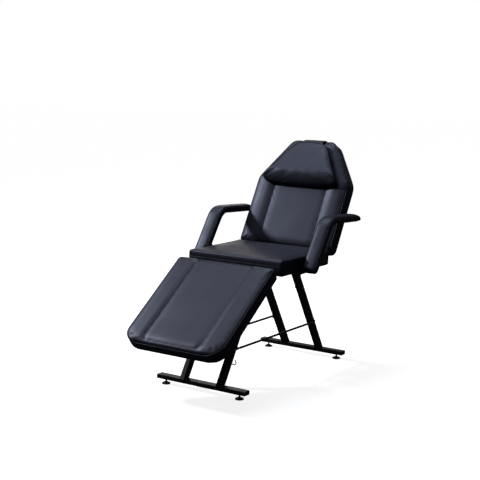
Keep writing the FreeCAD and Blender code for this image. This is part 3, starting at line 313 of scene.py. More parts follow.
stage_floor()
world = bpy.data.worlds.new("studio")
world.use_nodes = True
bpy.context.scene.world = world
sky = world.node_tree
sky.nodes.clear()
ray = add(sky, "ShaderNodeLightPath")
seen = add(sky, "ShaderNodeMath", {0: ray.outputs["Is Camera Ray"], 1: ray.outputs["Is Transmission Ray"]},
           operation="MAXIMUM")
ambient = add(sky, "ShaderNodeBackground", {"Color": rgb("#eef1f8"), "Strength": 0.05})
mirror_white = add(sky, "ShaderNodeBackground", {"Color": rgb("#f4f6ff"), "Strength": 0.09})
white = add(sky, "ShaderNodeBackground", {"Color": (1, 1, 1, 1), "Strength": 1.0})
shiny = add(sky, "ShaderNodeMixShader", {0: ray.outputs["Is Glossy Ray"], 1: ambient.outputs["Background"],
                                         2: mirror_white.outputs["Background"]})
choice = add(sky, "ShaderNodeMixShader", {0: seen.outputs["Value"], 1: shiny.outputs["Shader"],
                                          2: white.outputs["Background"]})
add(sky, "ShaderNodeOutputWorld", {"Surface": choice.outputs["Shader"]})
bpy.context.scene.view_settings.view_transform = "Standard"
print("studio floor and world ready")


# %% Lamps
def soft_lamp(name, place, target, size, watts, chip):
    data = bpy.data.lights.new(name, "AREA")
    data.shape = "DISK"
    data.size = size
    data.energy = watts
    data.color = rgb(chip)[:3]
    lamp = placed(name, data)
    lamp.location = place
    lamp.rotation_euler = (Vector(target) - Vector(place)).to_track_quat("-Z", "Y").to_euler()


soft_lamp("key", (-3.5, -1.2, 3.3), (0, 0.1, 0.6), 0.7, 150, "#f4f6ff")
soft_lamp("window", (-0.9, 0.3, 4.0), (0, 0, 0.6), 2.0, 52, "#eef2ff")
soft_lamp("rim", (-2.6, 3.4, 2.3), (0, 0.2, 0.7), 1.8, 13, "#fffaf0")

# %% [markdown]
# ## The frames of the panels
# The leg rest and the back are easiest to shape lying flat, measured from their hinge: x across,
# s along the panel away from the hinge and n out of the padding. A Panel object turns such flat
# points into the chair's frame. The hinge lines come from the joints themselves.

# %% Panels
joint_place = {joint["name"]: Vector(joint["pos_m"]) for joint in frame["record"]["behaviour"]["joints"]
               if "pos_m" in joint}


class Panel:
    """A flat working frame: x across, s away from the hinge, n out of the padding."""

    def __init__(self, origin, degrees, sign):
        self.matrix = Matrix.Translation(origin) @ Matrix.Rotation(math.radians(degrees), 4, "X")
        self.sign = sign

    def world_array(self, points):
        flat = np.array(points, float) * np.array([1.0, self.sign, 1.0])
        turn = np.array(self.matrix)
        return flat @ turn[:3, :3].T + turn[:3, 3]

    def flat_array(self, points):
        turn = np.array(self.matrix.inverted())
        flat = points @ turn[:3, :3].T + turn[:3, 3]
        return flat * np.array([1.0, self.sign, 1.0])


seat_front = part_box("seat_cushion")[0][1]
seat_panel = Panel(Vector((0, seat_front, 0)), 0, 1)
legrest_panel = Panel(joint_place["legrest_tilt"], 36.3, -1)
back_panel = Panel(joint_place["backrest_tilt"], 61, 1)
print("hinge lines:", {name: tuple(round(v, 4) for v in place) for name, place in joint_place.items()
                       if name.endswith("tilt")})

# %% [markdown]
# ## Outlines and lofts
# Every cushion starts as an outline: straight runs with rounded corners. The outline is repeated
# at several heights, drawn in or let out a little each time, and the rings are skinned into a
# closed skin. That gives the tucked foot, the full belly of the side and the rolled top edge.

# %% Outline tools
def evenly(line, step=None, count=None):
    """Even points on a line: a step apart round a closed one, or a count of them with both ends."""
    lengths = np.r_[0, np.cumsum(np.linalg.norm(np.diff(line, axis=0), axis=1))]
    marks = np.linspace(0, lengths[-1], count or int(lengths[-1] / step), endpoint=bool(count))
    return np.c_[np.interp(marks, lengths, line[:, 0]), np.interp(marks, lengths, line[:, 1])]


def rounded_outline(corners, step=0.006):
    """Points round a closed outline. Each corner is (x, s, radius)."""
    line = []
    count = len(corners)
    for i, (x, s, radius) in enumerate(corners):
        here = np.array([x, s])
        before = np.array(corners[i - 1][:2]) - here
        after = np.array(corners[(i + 1) % count][:2]) - here
        before = before / np.linalg.norm(before)
        after = after / np.linalg.norm(after)
        half_angle = math.acos(np.clip(before @ after, -1, 1)) / 2
        reach = radius / math.tan(half_angle)
        bisector = (before + after) / np.linalg.norm(before + after)
        centre = here + bisector * radius / math.sin(half_angle)
        first = here + before * reach - centre
        last = here + after * reach - centre
        turn = math.atan2(first[0] * last[1] - first[1] * last[0], first @ last)
        steps = max(4, int(radius * abs(turn) / step))
        for k in range(steps + 1):
            angle = turn * k / steps
            spin = np.array([[math.cos(angle), -math.sin(angle)], [math.sin(angle), math.cos(angle)]])
            line.append(centre + spin @ first)
    return evenly(np.vstack([line, line[:1]]), step=step)


def inset(outline, amount):
    """The outline moved inwards, by one amount or by one for each point."""
    ahead = np.roll(outline, -1, axis=0) - np.roll(outline, 1, axis=0)
    ahead /= np.linalg.norm(ahead, axis=1)[:, None]
    area = np.sum(outline[:, 0] * np.roll(outline[:, 1], -1) - outline[:, 1] * np.roll(outline[:, 0], -1))
    inwards = np.c_[-ahead[:, 1], ahead[:, 0]] * np.sign(area)
    return outline + inwards * np.reshape(amount, (-1, 1))


def edge_distance(points, outline):
    """Distance from each flat point to the outline."""
    best = np.full(len(points), 1e9)
    for first, run in zip(outline, np.roll(outline, -1, axis=0) - outline):
        offset = points - first
        share = np.clip(offset @ run / (run @ run), 0, 1)
        best = np.minimum(best, np.linalg.norm(offset - share[:, None] * run, axis=1))
    return best


def band(low, high, size, shift=0):
    """Quads from the ring that starts at point low to the one at point high, shift points on."""
    return [(low + k, low + (k + 1) % size, high + (k + 1 + shift) % size, high + (k + shift) % size)
            for k in range(size)]


def skin(rings):
    """Quads between rings of equal length, with the two ends closed."""
    size = len(rings[0])
    last = (len(rings) - 1) * size
    faces = [quad for low in range(0, last, size) for quad in band(low, low + size, size)]
    faces += [tuple(range(size - 1, -1, -1)), tuple(range(last, last + size))]
    return np.vstack(rings), faces


def mesh_from(name, points, faces):
    mesh = bpy.data.meshes.new(name)
    mesh.from_pydata([tuple(p) for p in points], [], faces)
    shape = bmesh.new()
    shape.from_mesh(mesh)
    bmesh.ops.recalc_face_normals(shape, faces=shape.faces)
    shape.to_mesh(mesh)
    shape.free()
    return mesh

# %% [markdown]
# ## From skin to foam
# Foam under a tight cover swells evenly and pulls its edges round. The skin is rebuilt as small
# even quads with a voxel remesh and blown up by the cloth solver. Each point's travel is then
# held back by a cap, and the skin is divided once, so that sewn lines can be pressed in sharply.

# %% Remesh, swell and divide
VOXEL = 0.0065
SWELL_FRAMES = 20
SWELL_CAP = 0.003


def evaluated_copy(piece):
    bpy.context.view_layer.update()
    graph = bpy.context.evaluated_depsgraph_get()
    return bpy.data.meshes.new_from_object(piece.evaluated_get(graph))


def with_modifier(mesh, kind, **settings):
    piece = placed("work", mesh)
    modifier = piece.modifiers.new("work", kind)
    for name, value in settings.items():
        setattr(modifier, name, value)
    result = evaluated_copy(piece)
    bpy.data.objects.remove(piece)
    return result


def coordinates(mesh):
    values = np.empty(len(mesh.vertices) * 3)
    mesh.vertices.foreach_get("co", values)
    return values.reshape(-1, 3)


def normals(mesh):
    values = np.empty(len(mesh.vertices) * 3)
    mesh.vertex_normals.foreach_get("vector", values)
    return values.reshape(-1, 3)


def move_points(mesh, points):
    mesh.vertices.foreach_set("co", np.asarray(points, float).ravel())
    mesh.update()


def swell(mesh, held, pressure=4.0):
    """Blow the skin up with the cloth solver, keep the held points, cap the travel."""
    start = coordinates(mesh)
    piece = placed("swelling", mesh)
    group = piece.vertex_groups.new(name="held")
    group.add([int(i) for i in np.flatnonzero(held)], 1.0, "REPLACE")
    solver = piece.modifiers.new("cloth", "CLOTH")
    skin_settings = {"quality": 4, "mass": 0.4, "tension_stiffness": 12, "compression_stiffness": 12,
                     "bending_stiffness": 1.5, "use_pressure": True, "uniform_pressure_force": pressure,
                     "vertex_group_mass": "held"}
    for name, value in skin_settings.items():
        setattr(solver.settings, name, value)
    solver.settings.effector_weights.gravity = 0
    for moment in range(1, SWELL_FRAMES + 1):
        bpy.context.scene.frame_set(moment)
    blown = coordinates(evaluated_copy(piece))
    bpy.data.objects.remove(piece)
    bpy.context.scene.frame_set(1)
    travel = blown - start
    length = np.linalg.norm(travel, axis=1)
    limit = SWELL_CAP * np.tanh(length / SWELL_CAP) / np.maximum(length, 1e-9)
    move_points(mesh, start + travel * limit[:, None])
    return float(length.max())


def ripple(points, size, seed):
    """Slow noise, one value for each point, about -1 to 1."""
    return np.array([noise.noise(Vector(p) / size + Vector((seed, seed, seed))) for p in points])

# %% [markdown]
# ## The three cushions
# Seat, leg rest and back are the same kind of box cushion. On the leg rest and the back, a sewn
# seam parts a flat middle from bolsters at the sides. The middle lies about 9 mm low, and each
# bolster swells up steeply from the seam. On the leg rest the seam runs round the foot end too,
# where it grows shallow. Every cushion is flat underneath, where it is stapled to its board.

# %% Cushion maker
SIDE_DRAW = 0.006
EDGE_DRAW = 0.0006
PANEL_HALF = 0.045  # the middle is full within this distance of its seam
PANEL_RISE = 0.0022
PUCKER_REACH = 0.018
PUCKER_PITCH = 0.052
# How far from a seam the painted shade in the valley reaches.
GROOVE_SHADE_REACH = 0.0032
NEAR_FADE = 0.07  # a seam is shallower within this distance of the hinge
FOOT_FADE = 0.18  # and over this length before the foot end
FOOT_FADE_HALF = 0.1782  # the fade keeps inside the side seams
FOOT_FADE_SOFT = 0.033


def finish_piece(name, mesh, body, material, nodes=()):
    piece = placed(name, mesh)
    mesh.materials.clear()
    mesh.materials.append(material)
    mesh.polygons.foreach_set("use_smooth", [True] * len(mesh.polygons))
    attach(piece, body)
    if nodes:
        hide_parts(*nodes)
    print(name, "has", len(mesh.polygons), "faces")


def corner_loss(distance, radius):
    """How far a round edge has fallen away at a distance from the end."""
    short = np.clip(radius - distance, 0, radius)
    return radius - np.sqrt(np.maximum(radius ** 2 - short ** 2, 0))


def end_loss(along, spec):
    """How far a cushion's two rolled ends have fallen away."""
    return corner_loss(along, spec["near_roll"]) + corner_loss(spec["length"] - along, spec["far_roll"])


def cushion_skin(outline, low, thick, start, roll):
    """Rings from the underside up: a tucked foot, a full side, a rolled edge."""
    levels = [(SIDE_DRAW, 0.0), (SIDE_DRAW * 0.35, thick * 0.14), (0.0, thick * 0.42),
              (EDGE_DRAW, thick - roll)]
    for k in range(1, 6):
        turn = math.pi / 2 * k / 5
        levels.append((EDGE_DRAW + roll * (1 - math.cos(turn)), thick - roll + roll * math.sin(turn)))
    return [np.c_[inset(outline, amount) + np.array([0, start]), np.full(len(outline), low + height)]
            for amount, height in levels]


def press_channel(flat, face_up, out, depth, fade, lobe):
    """Press in a sewn seam: out is the distance past it, towards the bolster.

    The bolster swells up from the seam like half a lens, and the flat middle is a little full."""
    bolster = depth * np.clip(1 - out / lobe, 0, 1) ** 2
    middle = depth - PANEL_RISE * (1 - np.clip(1 + out / PANEL_HALF, 0, 1) ** 2)
    near_seam = np.exp(-(out / PUCKER_REACH) ** 2)
    pucker = 1 + 0.03 * np.sin((flat[:, 0] + flat[:, 1]) * 2 * math.pi / PUCKER_PITCH) * near_seam
    facing = np.clip(face_up * 1.6, 0, 1)
    flat[:, 2] -= np.where(out > 0, bolster, middle) * pucker * facing * fade
    # The weight returned says where shade is painted into the leather's colour, along the seam.
    return np.exp(-(out / GROOVE_SHADE_REACH) ** 2) * facing * fade


def seam_fade(x, along, rise_start):
    """How deep a seam is, along its panel: shallower at the hinge and across the foot."""
    near = 1 - 0.3 * np.clip(1 - along / NEAR_FADE, 0, 1) ** 2
    rise = np.clip((along - rise_start) / FOOT_FADE, 0, 1)
    inside = np.clip((FOOT_FADE_HALF - np.abs(x)) / FOOT_FADE_SOFT, 0, 1)
    return near * (1 - 0.6 * rise * rise * (3 - 2 * rise) * inside)


def cushion(name, panel, outline, spec, channel=None):
    """A box cushion in its panel's frame, returned as a mesh in the chair's frame."""
    low, thick, start = spec["low"], spec["thick"], spec["start"]
    points, faces = skin(cushion_skin(outline, low, thick, start, spec["roll"]))
    mesh = with_modifier(mesh_from(name, panel.world_array(points), faces), "REMESH", mode="VOXEL",
                         voxel_size=VOXEL)
    flat = panel.flat_array(coordinates(mesh))
    # The crown keeps its height up to an open end, so the outline's near side is moved away there
    open_outline = outline - np.array([0, spec.get("open", 0.0)]) * (outline[:, 1:] < 0.05)
    edge = edge_distance(flat[:, :2] - np.array([0, start]), open_outline)
    along = flat[:, 1] - start
    top = np.clip((flat[:, 2] - low - thick * 0.40) / (thick * 0.60), 0, 1)
    fullness = 1 - (1 - np.clip(edge / spec["reach"], 0, 1)) ** 2
    flat[:, 2] += spec["crown"] * fullness * top
    flat[:, 2] -= end_loss(along, spec) * top
    flat[:, 2] += spec["sag"] * ripple(flat, 0.13, 3.0) * fullness * top
    front = np.exp(-(along / 0.04) ** 2) * np.clip((flat[:, 2] - low - 0.012) / 0.02, 0, 1)
    flat[:, 1] -= spec.get("belly", 0.0) * front
    move_points(mesh, panel.world_array(flat))
    travel = swell(mesh, flat[:, 2] < low + thick * 0.12)
    print(name, "swelled up to", round(travel * 1000, 1), "mm before the cap")
    mesh = with_modifier(mesh, "SUBSURF", levels=1, render_levels=1)
    flat = panel.flat_array(coordinates(mesh))
    # This weight, stored as an attribute, tells the leather where to paint shade in the sewn valleys.
    groove_shade = np.zeros(len(flat))
    if channel is not None:
        face_up = normals(mesh) @ np.array(panel.matrix)[:3, 2]
        along = flat[:, 1] - start
        fade = seam_fade(flat[:, 0], along, spec.get("rise", along))
        out = channel(flat[:, 0], along)
        groove_shade = 0.15 * press_channel(flat, face_up, out, spec["channel"], fade, spec["lobe"])
    move_points(mesh, panel.world_array(flat))
    mesh.attributes.new("groove_shade", "FLOAT", "POINT").data.foreach_set("value", groove_shade)
    return mesh


# %% Outlines of the cushions
SEAT = {"half": 0.3035, "length": 0.4995, "start": 0.0, "low": 0.5935, "thick": 0.0845,
        "crown": 0.006, "reach": 0.13, "sag": 0.0022, "belly": 0.006,
        "roll": 0.008, "near_roll": 0.013, "far_roll": 0.012}
LEGREST = {"half": 0.3055, "length": 0.6140, "start": 0.0143, "low": 0.0195, "thick": 0.0680,
           "crown": 0.006, "reach": 0.06, "sag": 0.0009, "open": 0.12,
           "channel": 0.0095, "lobe": 0.036, "rise": 0.42,
           "roll": 0.007, "near_roll": 0.0, "far_roll": 0.018}
BACK = {"half": 0.3025, "length": 0.6738, "start": 0.0202, "low": -0.0260, "thick": 0.0805,
        "crown": 0.006, "reach": 0.07, "sag": 0.0009, "shoulder": 0.419, "top_half": 0.138,
        "channel": 0.0095, "lobe": 0.055, "roll": 0.009, "near_roll": 0.028, "far_roll": 0.016}
BACK_CORNER = 0.07
END_GAP = 0.0005


def box_outline(half, length, near, far):
    return rounded_outline([(-half, END_GAP, near), (half, END_GAP, near), (half, length, far),
                            (-half, length, far)])


seat_outline = box_outline(SEAT["half"], SEAT["length"], 0.014, 0.016)
legrest_outline = box_outline(LEGREST["half"], LEGREST["length"], 0.016, 0.092)
back_side = [(BACK["half"], END_GAP, 0.020), (BACK["half"], BACK["shoulder"], BACK_CORNER),
             (BACK["top_half"], BACK["length"], BACK_CORNER)]
back_outline = rounded_outline([(-x, s, radius) for x, s, radius in back_side[:1]] + back_side
                               + [(-x, s, radius) for x, s, radius in back_side[:0:-1]])


def legrest_channel(x, along, side=0.172, foot=0.592, corner=0.040):
    """Distance past the seam that runs down both sides and, round a corner, across the foot end."""
    aside = np.abs(x) - (side - corner)
    past = along - (foot - corner)
    outside = np.hypot(np.maximum(aside, 0), np.maximum(past, 0))
    return outside + np.minimum(np.maximum(aside, past), 0) - corner


def back_channel(x, along, share=0.57):
    """Distance past the seam of the back's bolsters, which lean in above the shoulder."""
    lean = (BACK["half"] - BACK["top_half"]) / (BACK["length"] - BACK["shoulder"])
    past = np.maximum(along - BACK["shoulder"], 0)
    stretch = np.where(past > 0, math.hypot(1, lean * share), 1)
    return (np.abs(x) - share * (BACK["half"] - lean * past)) / stretch


print("outline points:", len(seat_outline), len(legrest_outline), len(back_outline))

# %% Make the cushions
seat_mesh = cushion("seat_cushion_cover", seat_panel, seat_outline, SEAT)
finish_piece("seat_cushion_cover", seat_mesh, "stand", leather, nodes=["seat_cushion"])
legrest_mesh = cushion("legrest_cushion_cover", legrest_panel, legrest_outline, LEGREST, legrest_channel)
finish_piece("legrest_cushion_cover", legrest_mesh, "legrest", leather, nodes=["legrest_cushion"])
back_mesh = cushion("backrest_cushion_cover", back_panel, back_outline, BACK, back_channel)
finish_piece("backrest_cushion_cover", back_mesh, "backrest", leather, nodes=["backrest_cushion"])

# %% [markdown]
# ## Piping
# A welt, a cord wrapped in the cover material, is sewn into the edge where the face meets the
# side. It is thin, but it catches the light all round the cushion. The welt follows the outline,
# and each of its points is dropped onto the finished skin, so it never floats or sinks.

# %% Tubes on a surface
def surface_of(mesh):
    shape = bmesh.new()
    shape.from_mesh(mesh)
    tree = BVHTree.FromBMesh(shape)
    shape.free()
    return tree


def laid_on(surface, points, lift):
    laid = []
    for point in points:
        spot, normal = surface.find_nearest(Vector(point))[:2]
        laid.append(tuple(spot + normal * lift))
    return np.array(laid)


def smooth_line(points, closed, rounds=3):
    for _ in range(rounds):
        if closed:
            points = (np.roll(points, 1, axis=0) + points * 2 + np.roll(points, -1, axis=0)) / 4
        else:
            points[1:-1] = (points[:-2] + points[1:-1] * 2 + points[2:]) / 4
    return points


def tube(points, radius, closed, sides=8):
    """Points and faces of a round cord along a line."""
    points = np.asarray(points, float)
    if closed:
        ahead = np.roll(points, -1, axis=0) - np.roll(points, 1, axis=0)
    else:
        ahead = np.gradient(points, axis=0)
    ahead /= np.linalg.norm(ahead, axis=1)[:, None]
    side = np.cross(ahead[0], [0, 0, 1.0])
    if np.linalg.norm(side) < 0.1:
        side = np.cross(ahead[0], [1.0, 0, 0])
    angles = np.linspace(0, 2 * math.pi, sides, endpoint=False)[:, None]
    rings = []
    for point, onward in zip(points, ahead):
        side = side - onward * (side @ onward)
        side /= np.linalg.norm(side)
        spokes = np.cos(angles) * side + np.sin(angles) * np.cross(onward, side)
        rings.append(point + radius * spokes)
    everything, faces = skin(rings)
    if closed:
        shift = int(np.argmin(np.linalg.norm(rings[0] - rings[-1][0], axis=1)))
        faces = faces[:-2] + band((len(rings) - 1) * sides, 0, sides, shift)
    return everything, faces


def joined(parts):
    """Several (points, faces) as one."""
    points, faces, base = [], [], 0
    for more_points, more_faces in parts:
        points.append(more_points)
        faces += [tuple(i + base for i in face) for face in more_faces]
        base += len(more_points)
    return np.vstack(points), faces


WELT = 0.0026
WELT_LIFT = WELT * 0.3


def finish_cord(name, cord, body):
    finish_piece(name, mesh_from(name, *cord), body, piping_leather)


def add_welt(name, mesh, panel, outline, spec, body, height=None):
    """A cord round the top edge, or at a given height above the underside."""
    ring = outline
    if height is None:
        ring = inset(outline, spec["roll"] * 0.2)
        height = spec["thick"] - spec["roll"] * 0.4 - end_loss(ring[:, 1], spec)
    flat = np.c_[ring + np.array([0, spec["start"]]), np.full(len(ring), spec["low"] + height)]
    line = smooth_line(laid_on(surface_of(mesh), panel.world_array(flat), WELT_LIFT), True)
    finish_cord(name, tube(line, WELT, True), body)


add_welt("seat_welt", seat_mesh, seat_panel, seat_outline, SEAT, "stand", 0.050)
add_welt("legrest_welt", legrest_mesh, legrest_panel, legrest_outline, LEGREST, "legrest")
add_welt("backrest_welt", back_mesh, back_panel, back_outline, BACK, "backrest")
add_welt("backrest_rear_welt", back_mesh, back_panel, back_outline, BACK, "backrest", 0.012)
print("welts laid, cord diameter", WELT * 2000, "mm")

# %% [markdown]
# ## Head pillow
# The pillow is a bell seen from the front and a wedge seen from the side: it is nearly 60 mm thick
# along a soft crest near its lower edge, falls away steeply below it, and thins to 20 mm at the
# top. Its outline is raised into a block, the block is remeshed, and each point's height is scaled
# to the wedge. The swelling then rounds it. Piping runs up one side, over the top and down the
# other. A flap of the same material hangs from its top edge over the back.

# %% Pillow form
PILLOW = {"low": 0.390, "crest": 0.447, "high": 0.669, "base": 0.0652, "roll": 0.060, "thin": 0.021,
          "edge": 0.013}
BELL = [(0.000, 0.390), (0.120, 0.391), (0.200, 0.397), (0.228, 0.402), (0.241, 0.410), (0.243, 0.418),
        (0.233, 0.440), (0.209, 0.480), (0.187, 0.512), (0.164, 0.555), (0.139, 0.600), (0.117, 0.629),
        (0.096, 0.649), (0.065, 0.666), (0.030, 0.669), (0.000, 0.669)]
CREST_SOFT = 0.0055  # how roundly the front runs over into the slope
BLOCK = 0.060
PILLOW_VOXEL = 0.005


def wedge(s):
    """Thickness of the pillow along the back: steep front, a crest, and a long thinning slope."""
    front = 0.024 + (s - PILLOW["low"]) * (PILLOW["roll"] - 0.022) / (PILLOW["crest"] - PILLOW["low"])
    share = (s - PILLOW["crest"]) / (PILLOW["high"] - PILLOW["crest"])
    slope = PILLOW["roll"] + 0.002 - (PILLOW["roll"] - PILLOW["thin"]) * share + 0.004 * share * (1 - share)
    return -CREST_SOFT * np.log(np.exp(-front / CREST_SOFT) + np.exp(-slope / CREST_SOFT))


bell = smooth_line(evenly(np.array(BELL + [(-x, s) for x, s in BELL[-2::-1]]), step=0.004), True, 12)
rings = [np.c_[inset(bell, amount), np.full(len(bell), PILLOW["base"] + up * BLOCK)]
         for amount, up in ((0.004, 0.0), (0.001, 0.12), (0.0, 0.35), (0.0, 0.7), (0.001, 1.0))]
points, faces = skin(rings)
pillow_mesh = with_modifier(mesh_from("head_pillow_cover", back_panel.world_array(points), faces), "REMESH",
                            mode="VOXEL", voxel_size=PILLOW_VOXEL)
flat = back_panel.flat_array(coordinates(pillow_mesh))
raised = np.clip((flat[:, 2] - PILLOW["base"]) / BLOCK, 0, 1)
rim = corner_loss(edge_distance(flat[:, :2], bell), PILLOW["edge"])
flat[:, 2] = PILLOW["base"] + raised * (wedge(flat[:, 1]) - rim * 0.9)
flat[:, 2] += 0.0009 * ripple(flat, 0.06, 9.0) * raised
move_points(pillow_mesh, back_panel.world_array(flat))
travel = swell(pillow_mesh, flat[:, 2] < PILLOW["base"] + 0.004, 3.0)
flat = back_panel.flat_array(coordinates(pillow_mesh))
flat[:, 2] = np.maximum(flat[:, 2], PILLOW["base"])
move_points(pillow_mesh, back_panel.world_array(flat))
print("pillow swelled up to", round(travel * 1000, 1), "mm before the cap")
pillow_mesh = with_modifier(pillow_mesh, "SUBSURF", levels=1, render_levels=1)
finish_piece("head_pillow_cover", pillow_mesh, "pillow", leather, nodes=["head_pillow"])

# %% Pillow welt and flap
edge = inset(bell, PILLOW["edge"] * 0.25)
edge = edge[edge[:, 1] > PILLOW["low"] + 0.018]
turned = np.argmax(np.linalg.norm(np.diff(edge, axis=0), axis=1)) + 1
edge = np.roll(edge, -turned, axis=0)
line = back_panel.world_array(np.c_[edge, PILLOW["base"] + wedge(edge[:, 1]) - PILLOW["edge"] * 0.25])
line = laid_on(surface_of(pillow_mesh), line, WELT_LIFT)
finish_cord("pillow_welt", tube(smooth_line(line, False), WELT, False), "pillow")

FLAP_HALF = 0.068
FLAP_THICK = 0.0017
FLAP_RINGS = 90


def power(value, exponent):
    """A power that keeps the sign; below 1 it squares up a circle."""
    return np.sign(value) * abs(value) ** exponent


def flap_mesh():
    """A thin padded band: out of the pillow's top, over the end of the back and down behind it."""
    end = BACK["start"] + BACK["length"] + 0.0035
    front = BACK["low"] + BACK["thick"] + 0.0110
    behind_n = BACK["low"] - 0.0045
    # Pairs of how far past the end of the back and how far above its face, and then below its rear
    over = [(-0.046, 0.006), (-0.032, 0.004), (-0.021, -0.0005), (-0.016, -0.006), (-0.006, -0.014),
            (0, -0.026), (0.0015, -0.040)]
    down = [(0.0015, 0.022), (-0.001, 0.008), (-0.010, 0), (-0.028, -0.001), (-0.060, -0.001),
            (-0.110, -0.001)]
    path = np.array([(end + s, front + n) for s, n in over] + [(end + s, behind_n + n) for s, n in down])
    line = smooth_line(evenly(path, count=FLAP_RINGS), False, 8)
    ahead = np.gradient(line, axis=0)
    ahead /= np.linalg.norm(ahead, axis=1)[:, None]
    outward = np.c_[-ahead[:, 1], ahead[:, 0]]
    rings = []
    for k, (spot, out) in enumerate(zip(line, outward)):
        width = FLAP_HALF - 0.008 * (1 - min(1.0, min(k, FLAP_RINGS - 1 - k) / 5)) ** 2
        ring = []
        for angle in np.linspace(0, 2 * math.pi, 40, endpoint=False):
            across = width * power(math.cos(angle), 0.35)
            deep = FLAP_THICK * power(math.sin(angle), 0.6)
            wave = 0.0004 * math.sin(across * 60 + spot[0] * 40)
            ring.append((across, spot[0] + out[0] * (deep + wave), spot[1] + out[1] * (deep + wave)))
        rings.append(np.array(ring))
    points, faces = skin(rings)
    return mesh_from("pillow_flap_cover", back_panel.world_array(points), faces)


finish_piece("pillow_flap_cover", flap_mesh(), "pillow", leather, nodes=["pillow_flap"])

# %% [markdown]
# ## Armrests
# Each armrest is one padded sleeve over a bent steel core: it climbs from the side of the seat,
# turns through a wide bend and runs back level, tapering into a drooping tip. A loft of soft
# rectangles, rounder on top, along that path makes it. The foam bunches a little on the inside of
# the bend, so a few shallow creases are pressed in there.

# %% Arm pads
back_hinge_y = joint_place["backrest_tilt"].y
ARM = {"middle": 0.357, "width": 0.0860, "thick": 0.0425, "low_y": back_hinge_y - 0.3588, "low_z": 0.5990,
       "level": 0.8618, "tilt": math.radians(55.8), "fall": math.radians(2.6), "bend": 0.092,
       "tail": back_hinge_y + 0.0942, "tip": 0.0725}
ARM_EDGES = (6, 22)  # the points of each ring that the seams follow
ARM_CORD = 0.0014
SEAM_LIFT = 0.0002


def arm_path(step=0.005):
    """Points (y, z), direction angles and distances along the middle of an armrest."""
    tilt, fall, bend = ARM["tilt"], ARM["fall"], ARM["bend"]
    knee = ARM["low_y"] + (ARM["level"] - ARM["low_z"]) / math.tan(tilt)
    reach = bend * math.tan((tilt + fall) / 2)
    ahead = (math.cos(tilt), math.sin(tilt))
    bend_start = (knee - reach * ahead[0], ARM["level"] - reach * ahead[1])
    centre = (bend_start[0] + bend * ahead[1], bend_start[1] - bend * ahead[0])
    straight = math.dist((ARM["low_y"], ARM["low_z"]), bend_start)
    arc = bend * (tilt + fall)
    bend_end = (centre[0] + bend * math.sin(fall), centre[1] + bend * math.cos(fall))
    total = straight + arc + (ARM["tail"] + ARM["tip"] - bend_end[0]) / math.cos(fall)
    path = []
    for d in np.linspace(0, total, int(total / step)):
        if d < straight:
            path.append((ARM["low_y"] + d * ahead[0], ARM["low_z"] + d * ahead[1], tilt, d))
        elif d < straight + arc:
            angle = tilt - (d - straight) / bend
            path.append((centre[0] - bend * math.sin(angle), centre[1] + bend * math.cos(angle), angle, d))
        else:
            past = d - straight - arc
            path.append((bend_end[0] + past * math.cos(fall), bend_end[1] - past * math.sin(fall),
                         -fall, d))
    return path, straight, arc, total


def rounded_end(distance, reach):
    """Grows from nearly 0 to 1 within reach of an end, like a quarter circle."""
    return math.sqrt(1 - (1 - min(1.0, max(distance, 0.0006) / reach)) ** 2)


def arm_rings(side):
    path, straight, arc, total = arm_path()
    rings = []
    for y, z, angle, d in path:
        foot = rounded_end(d, 0.022)
        heel = math.exp(-((d - 0.040) / 0.030) ** 2)
        end_share = np.clip((d - (total - ARM["tip"])) / ARM["tip"], 0, 1)
        nose = rounded_end(total - d, 0.007)
        width = ARM["width"] * (0.80 + 0.20 * foot) * (1 + 0.03 * heel) * (1 - 0.48 * end_share ** 2.6)
        width *= 0.9 + 0.1 * nose
        thick = ARM["thick"] * foot * (1 + 0.12 * heel) * (1 - 0.70 * end_share ** 1.4) * nose
        droop = 0.010 * end_share ** 1.5
        bunch = math.exp(-((d - straight - arc / 2) / 0.035) ** 2)
        ring = []
        for turn in np.linspace(0, 2 * math.pi, 56, endpoint=False):
            c, s = math.cos(turn), math.sin(turn)
            across = width / 2 * power(c, 0.60 if s > 0 else 0.48)
            up = thick / 2 * power(s, 0.72 if s > 0 else 0.52)
            if s > 0:
                up *= 1 + 0.04 * math.cos(across / width * math.pi)
            else:
                up *= 1 - 0.07 * bunch * (0.5 + 0.5 * math.cos(d * 2 * math.pi / 0.016))
            ring.append((side * ARM["middle"] + across, y - math.sin(angle) * up,
                         z + math.cos(angle) * up - droop))
        rings.append(np.array(ring))
    return rings


for side, word in ((1, "left"), (-1, "right")):
    arm = arm_rings(side)
    points, faces = skin(arm)
    mesh = mesh_from("arm_pad_cover_" + word, points, faces)
    mesh = with_modifier(mesh, "SUBSURF", levels=1, render_levels=1)
    place = coordinates(mesh)
    move_points(mesh, place + normals(mesh) * (0.0007 * ripple(place, 0.05, 5.0 + side))[:, None])
    finish_piece("arm_pad_cover_" + word, mesh, "stand", leather, nodes=["arm_pad_" + word])
    # Two sewn lines run along the outer edges, just under the top face
    lines = [laid_on(surface_of(mesh), [ring[edge] for ring in arm[2:-3]], SEAM_LIFT) for edge in ARM_EDGES]
    cords = joined([tube(smooth_line(line, False), ARM_CORD, False, 6) for line in lines])
    finish_cord("arm_seams_" + word, cords, "stand")
print("arm pads made, path length", round(arm_path()[3], 3), "m")

# %% [markdown]
# ## Stitches, staples and welds
# Small fixings repeat along a line, which is a job for Geometry Nodes. A tree takes a line, marks
# it off at a chosen spacing and sets a small rod at every mark, along the line for a stitch or a
# staple. Its twin sets beads, for a weld. A stitch is 5 mm long and 0.8 mm thick. The result is
# turned into a plain mesh, because the exported chair keeps no modifiers.

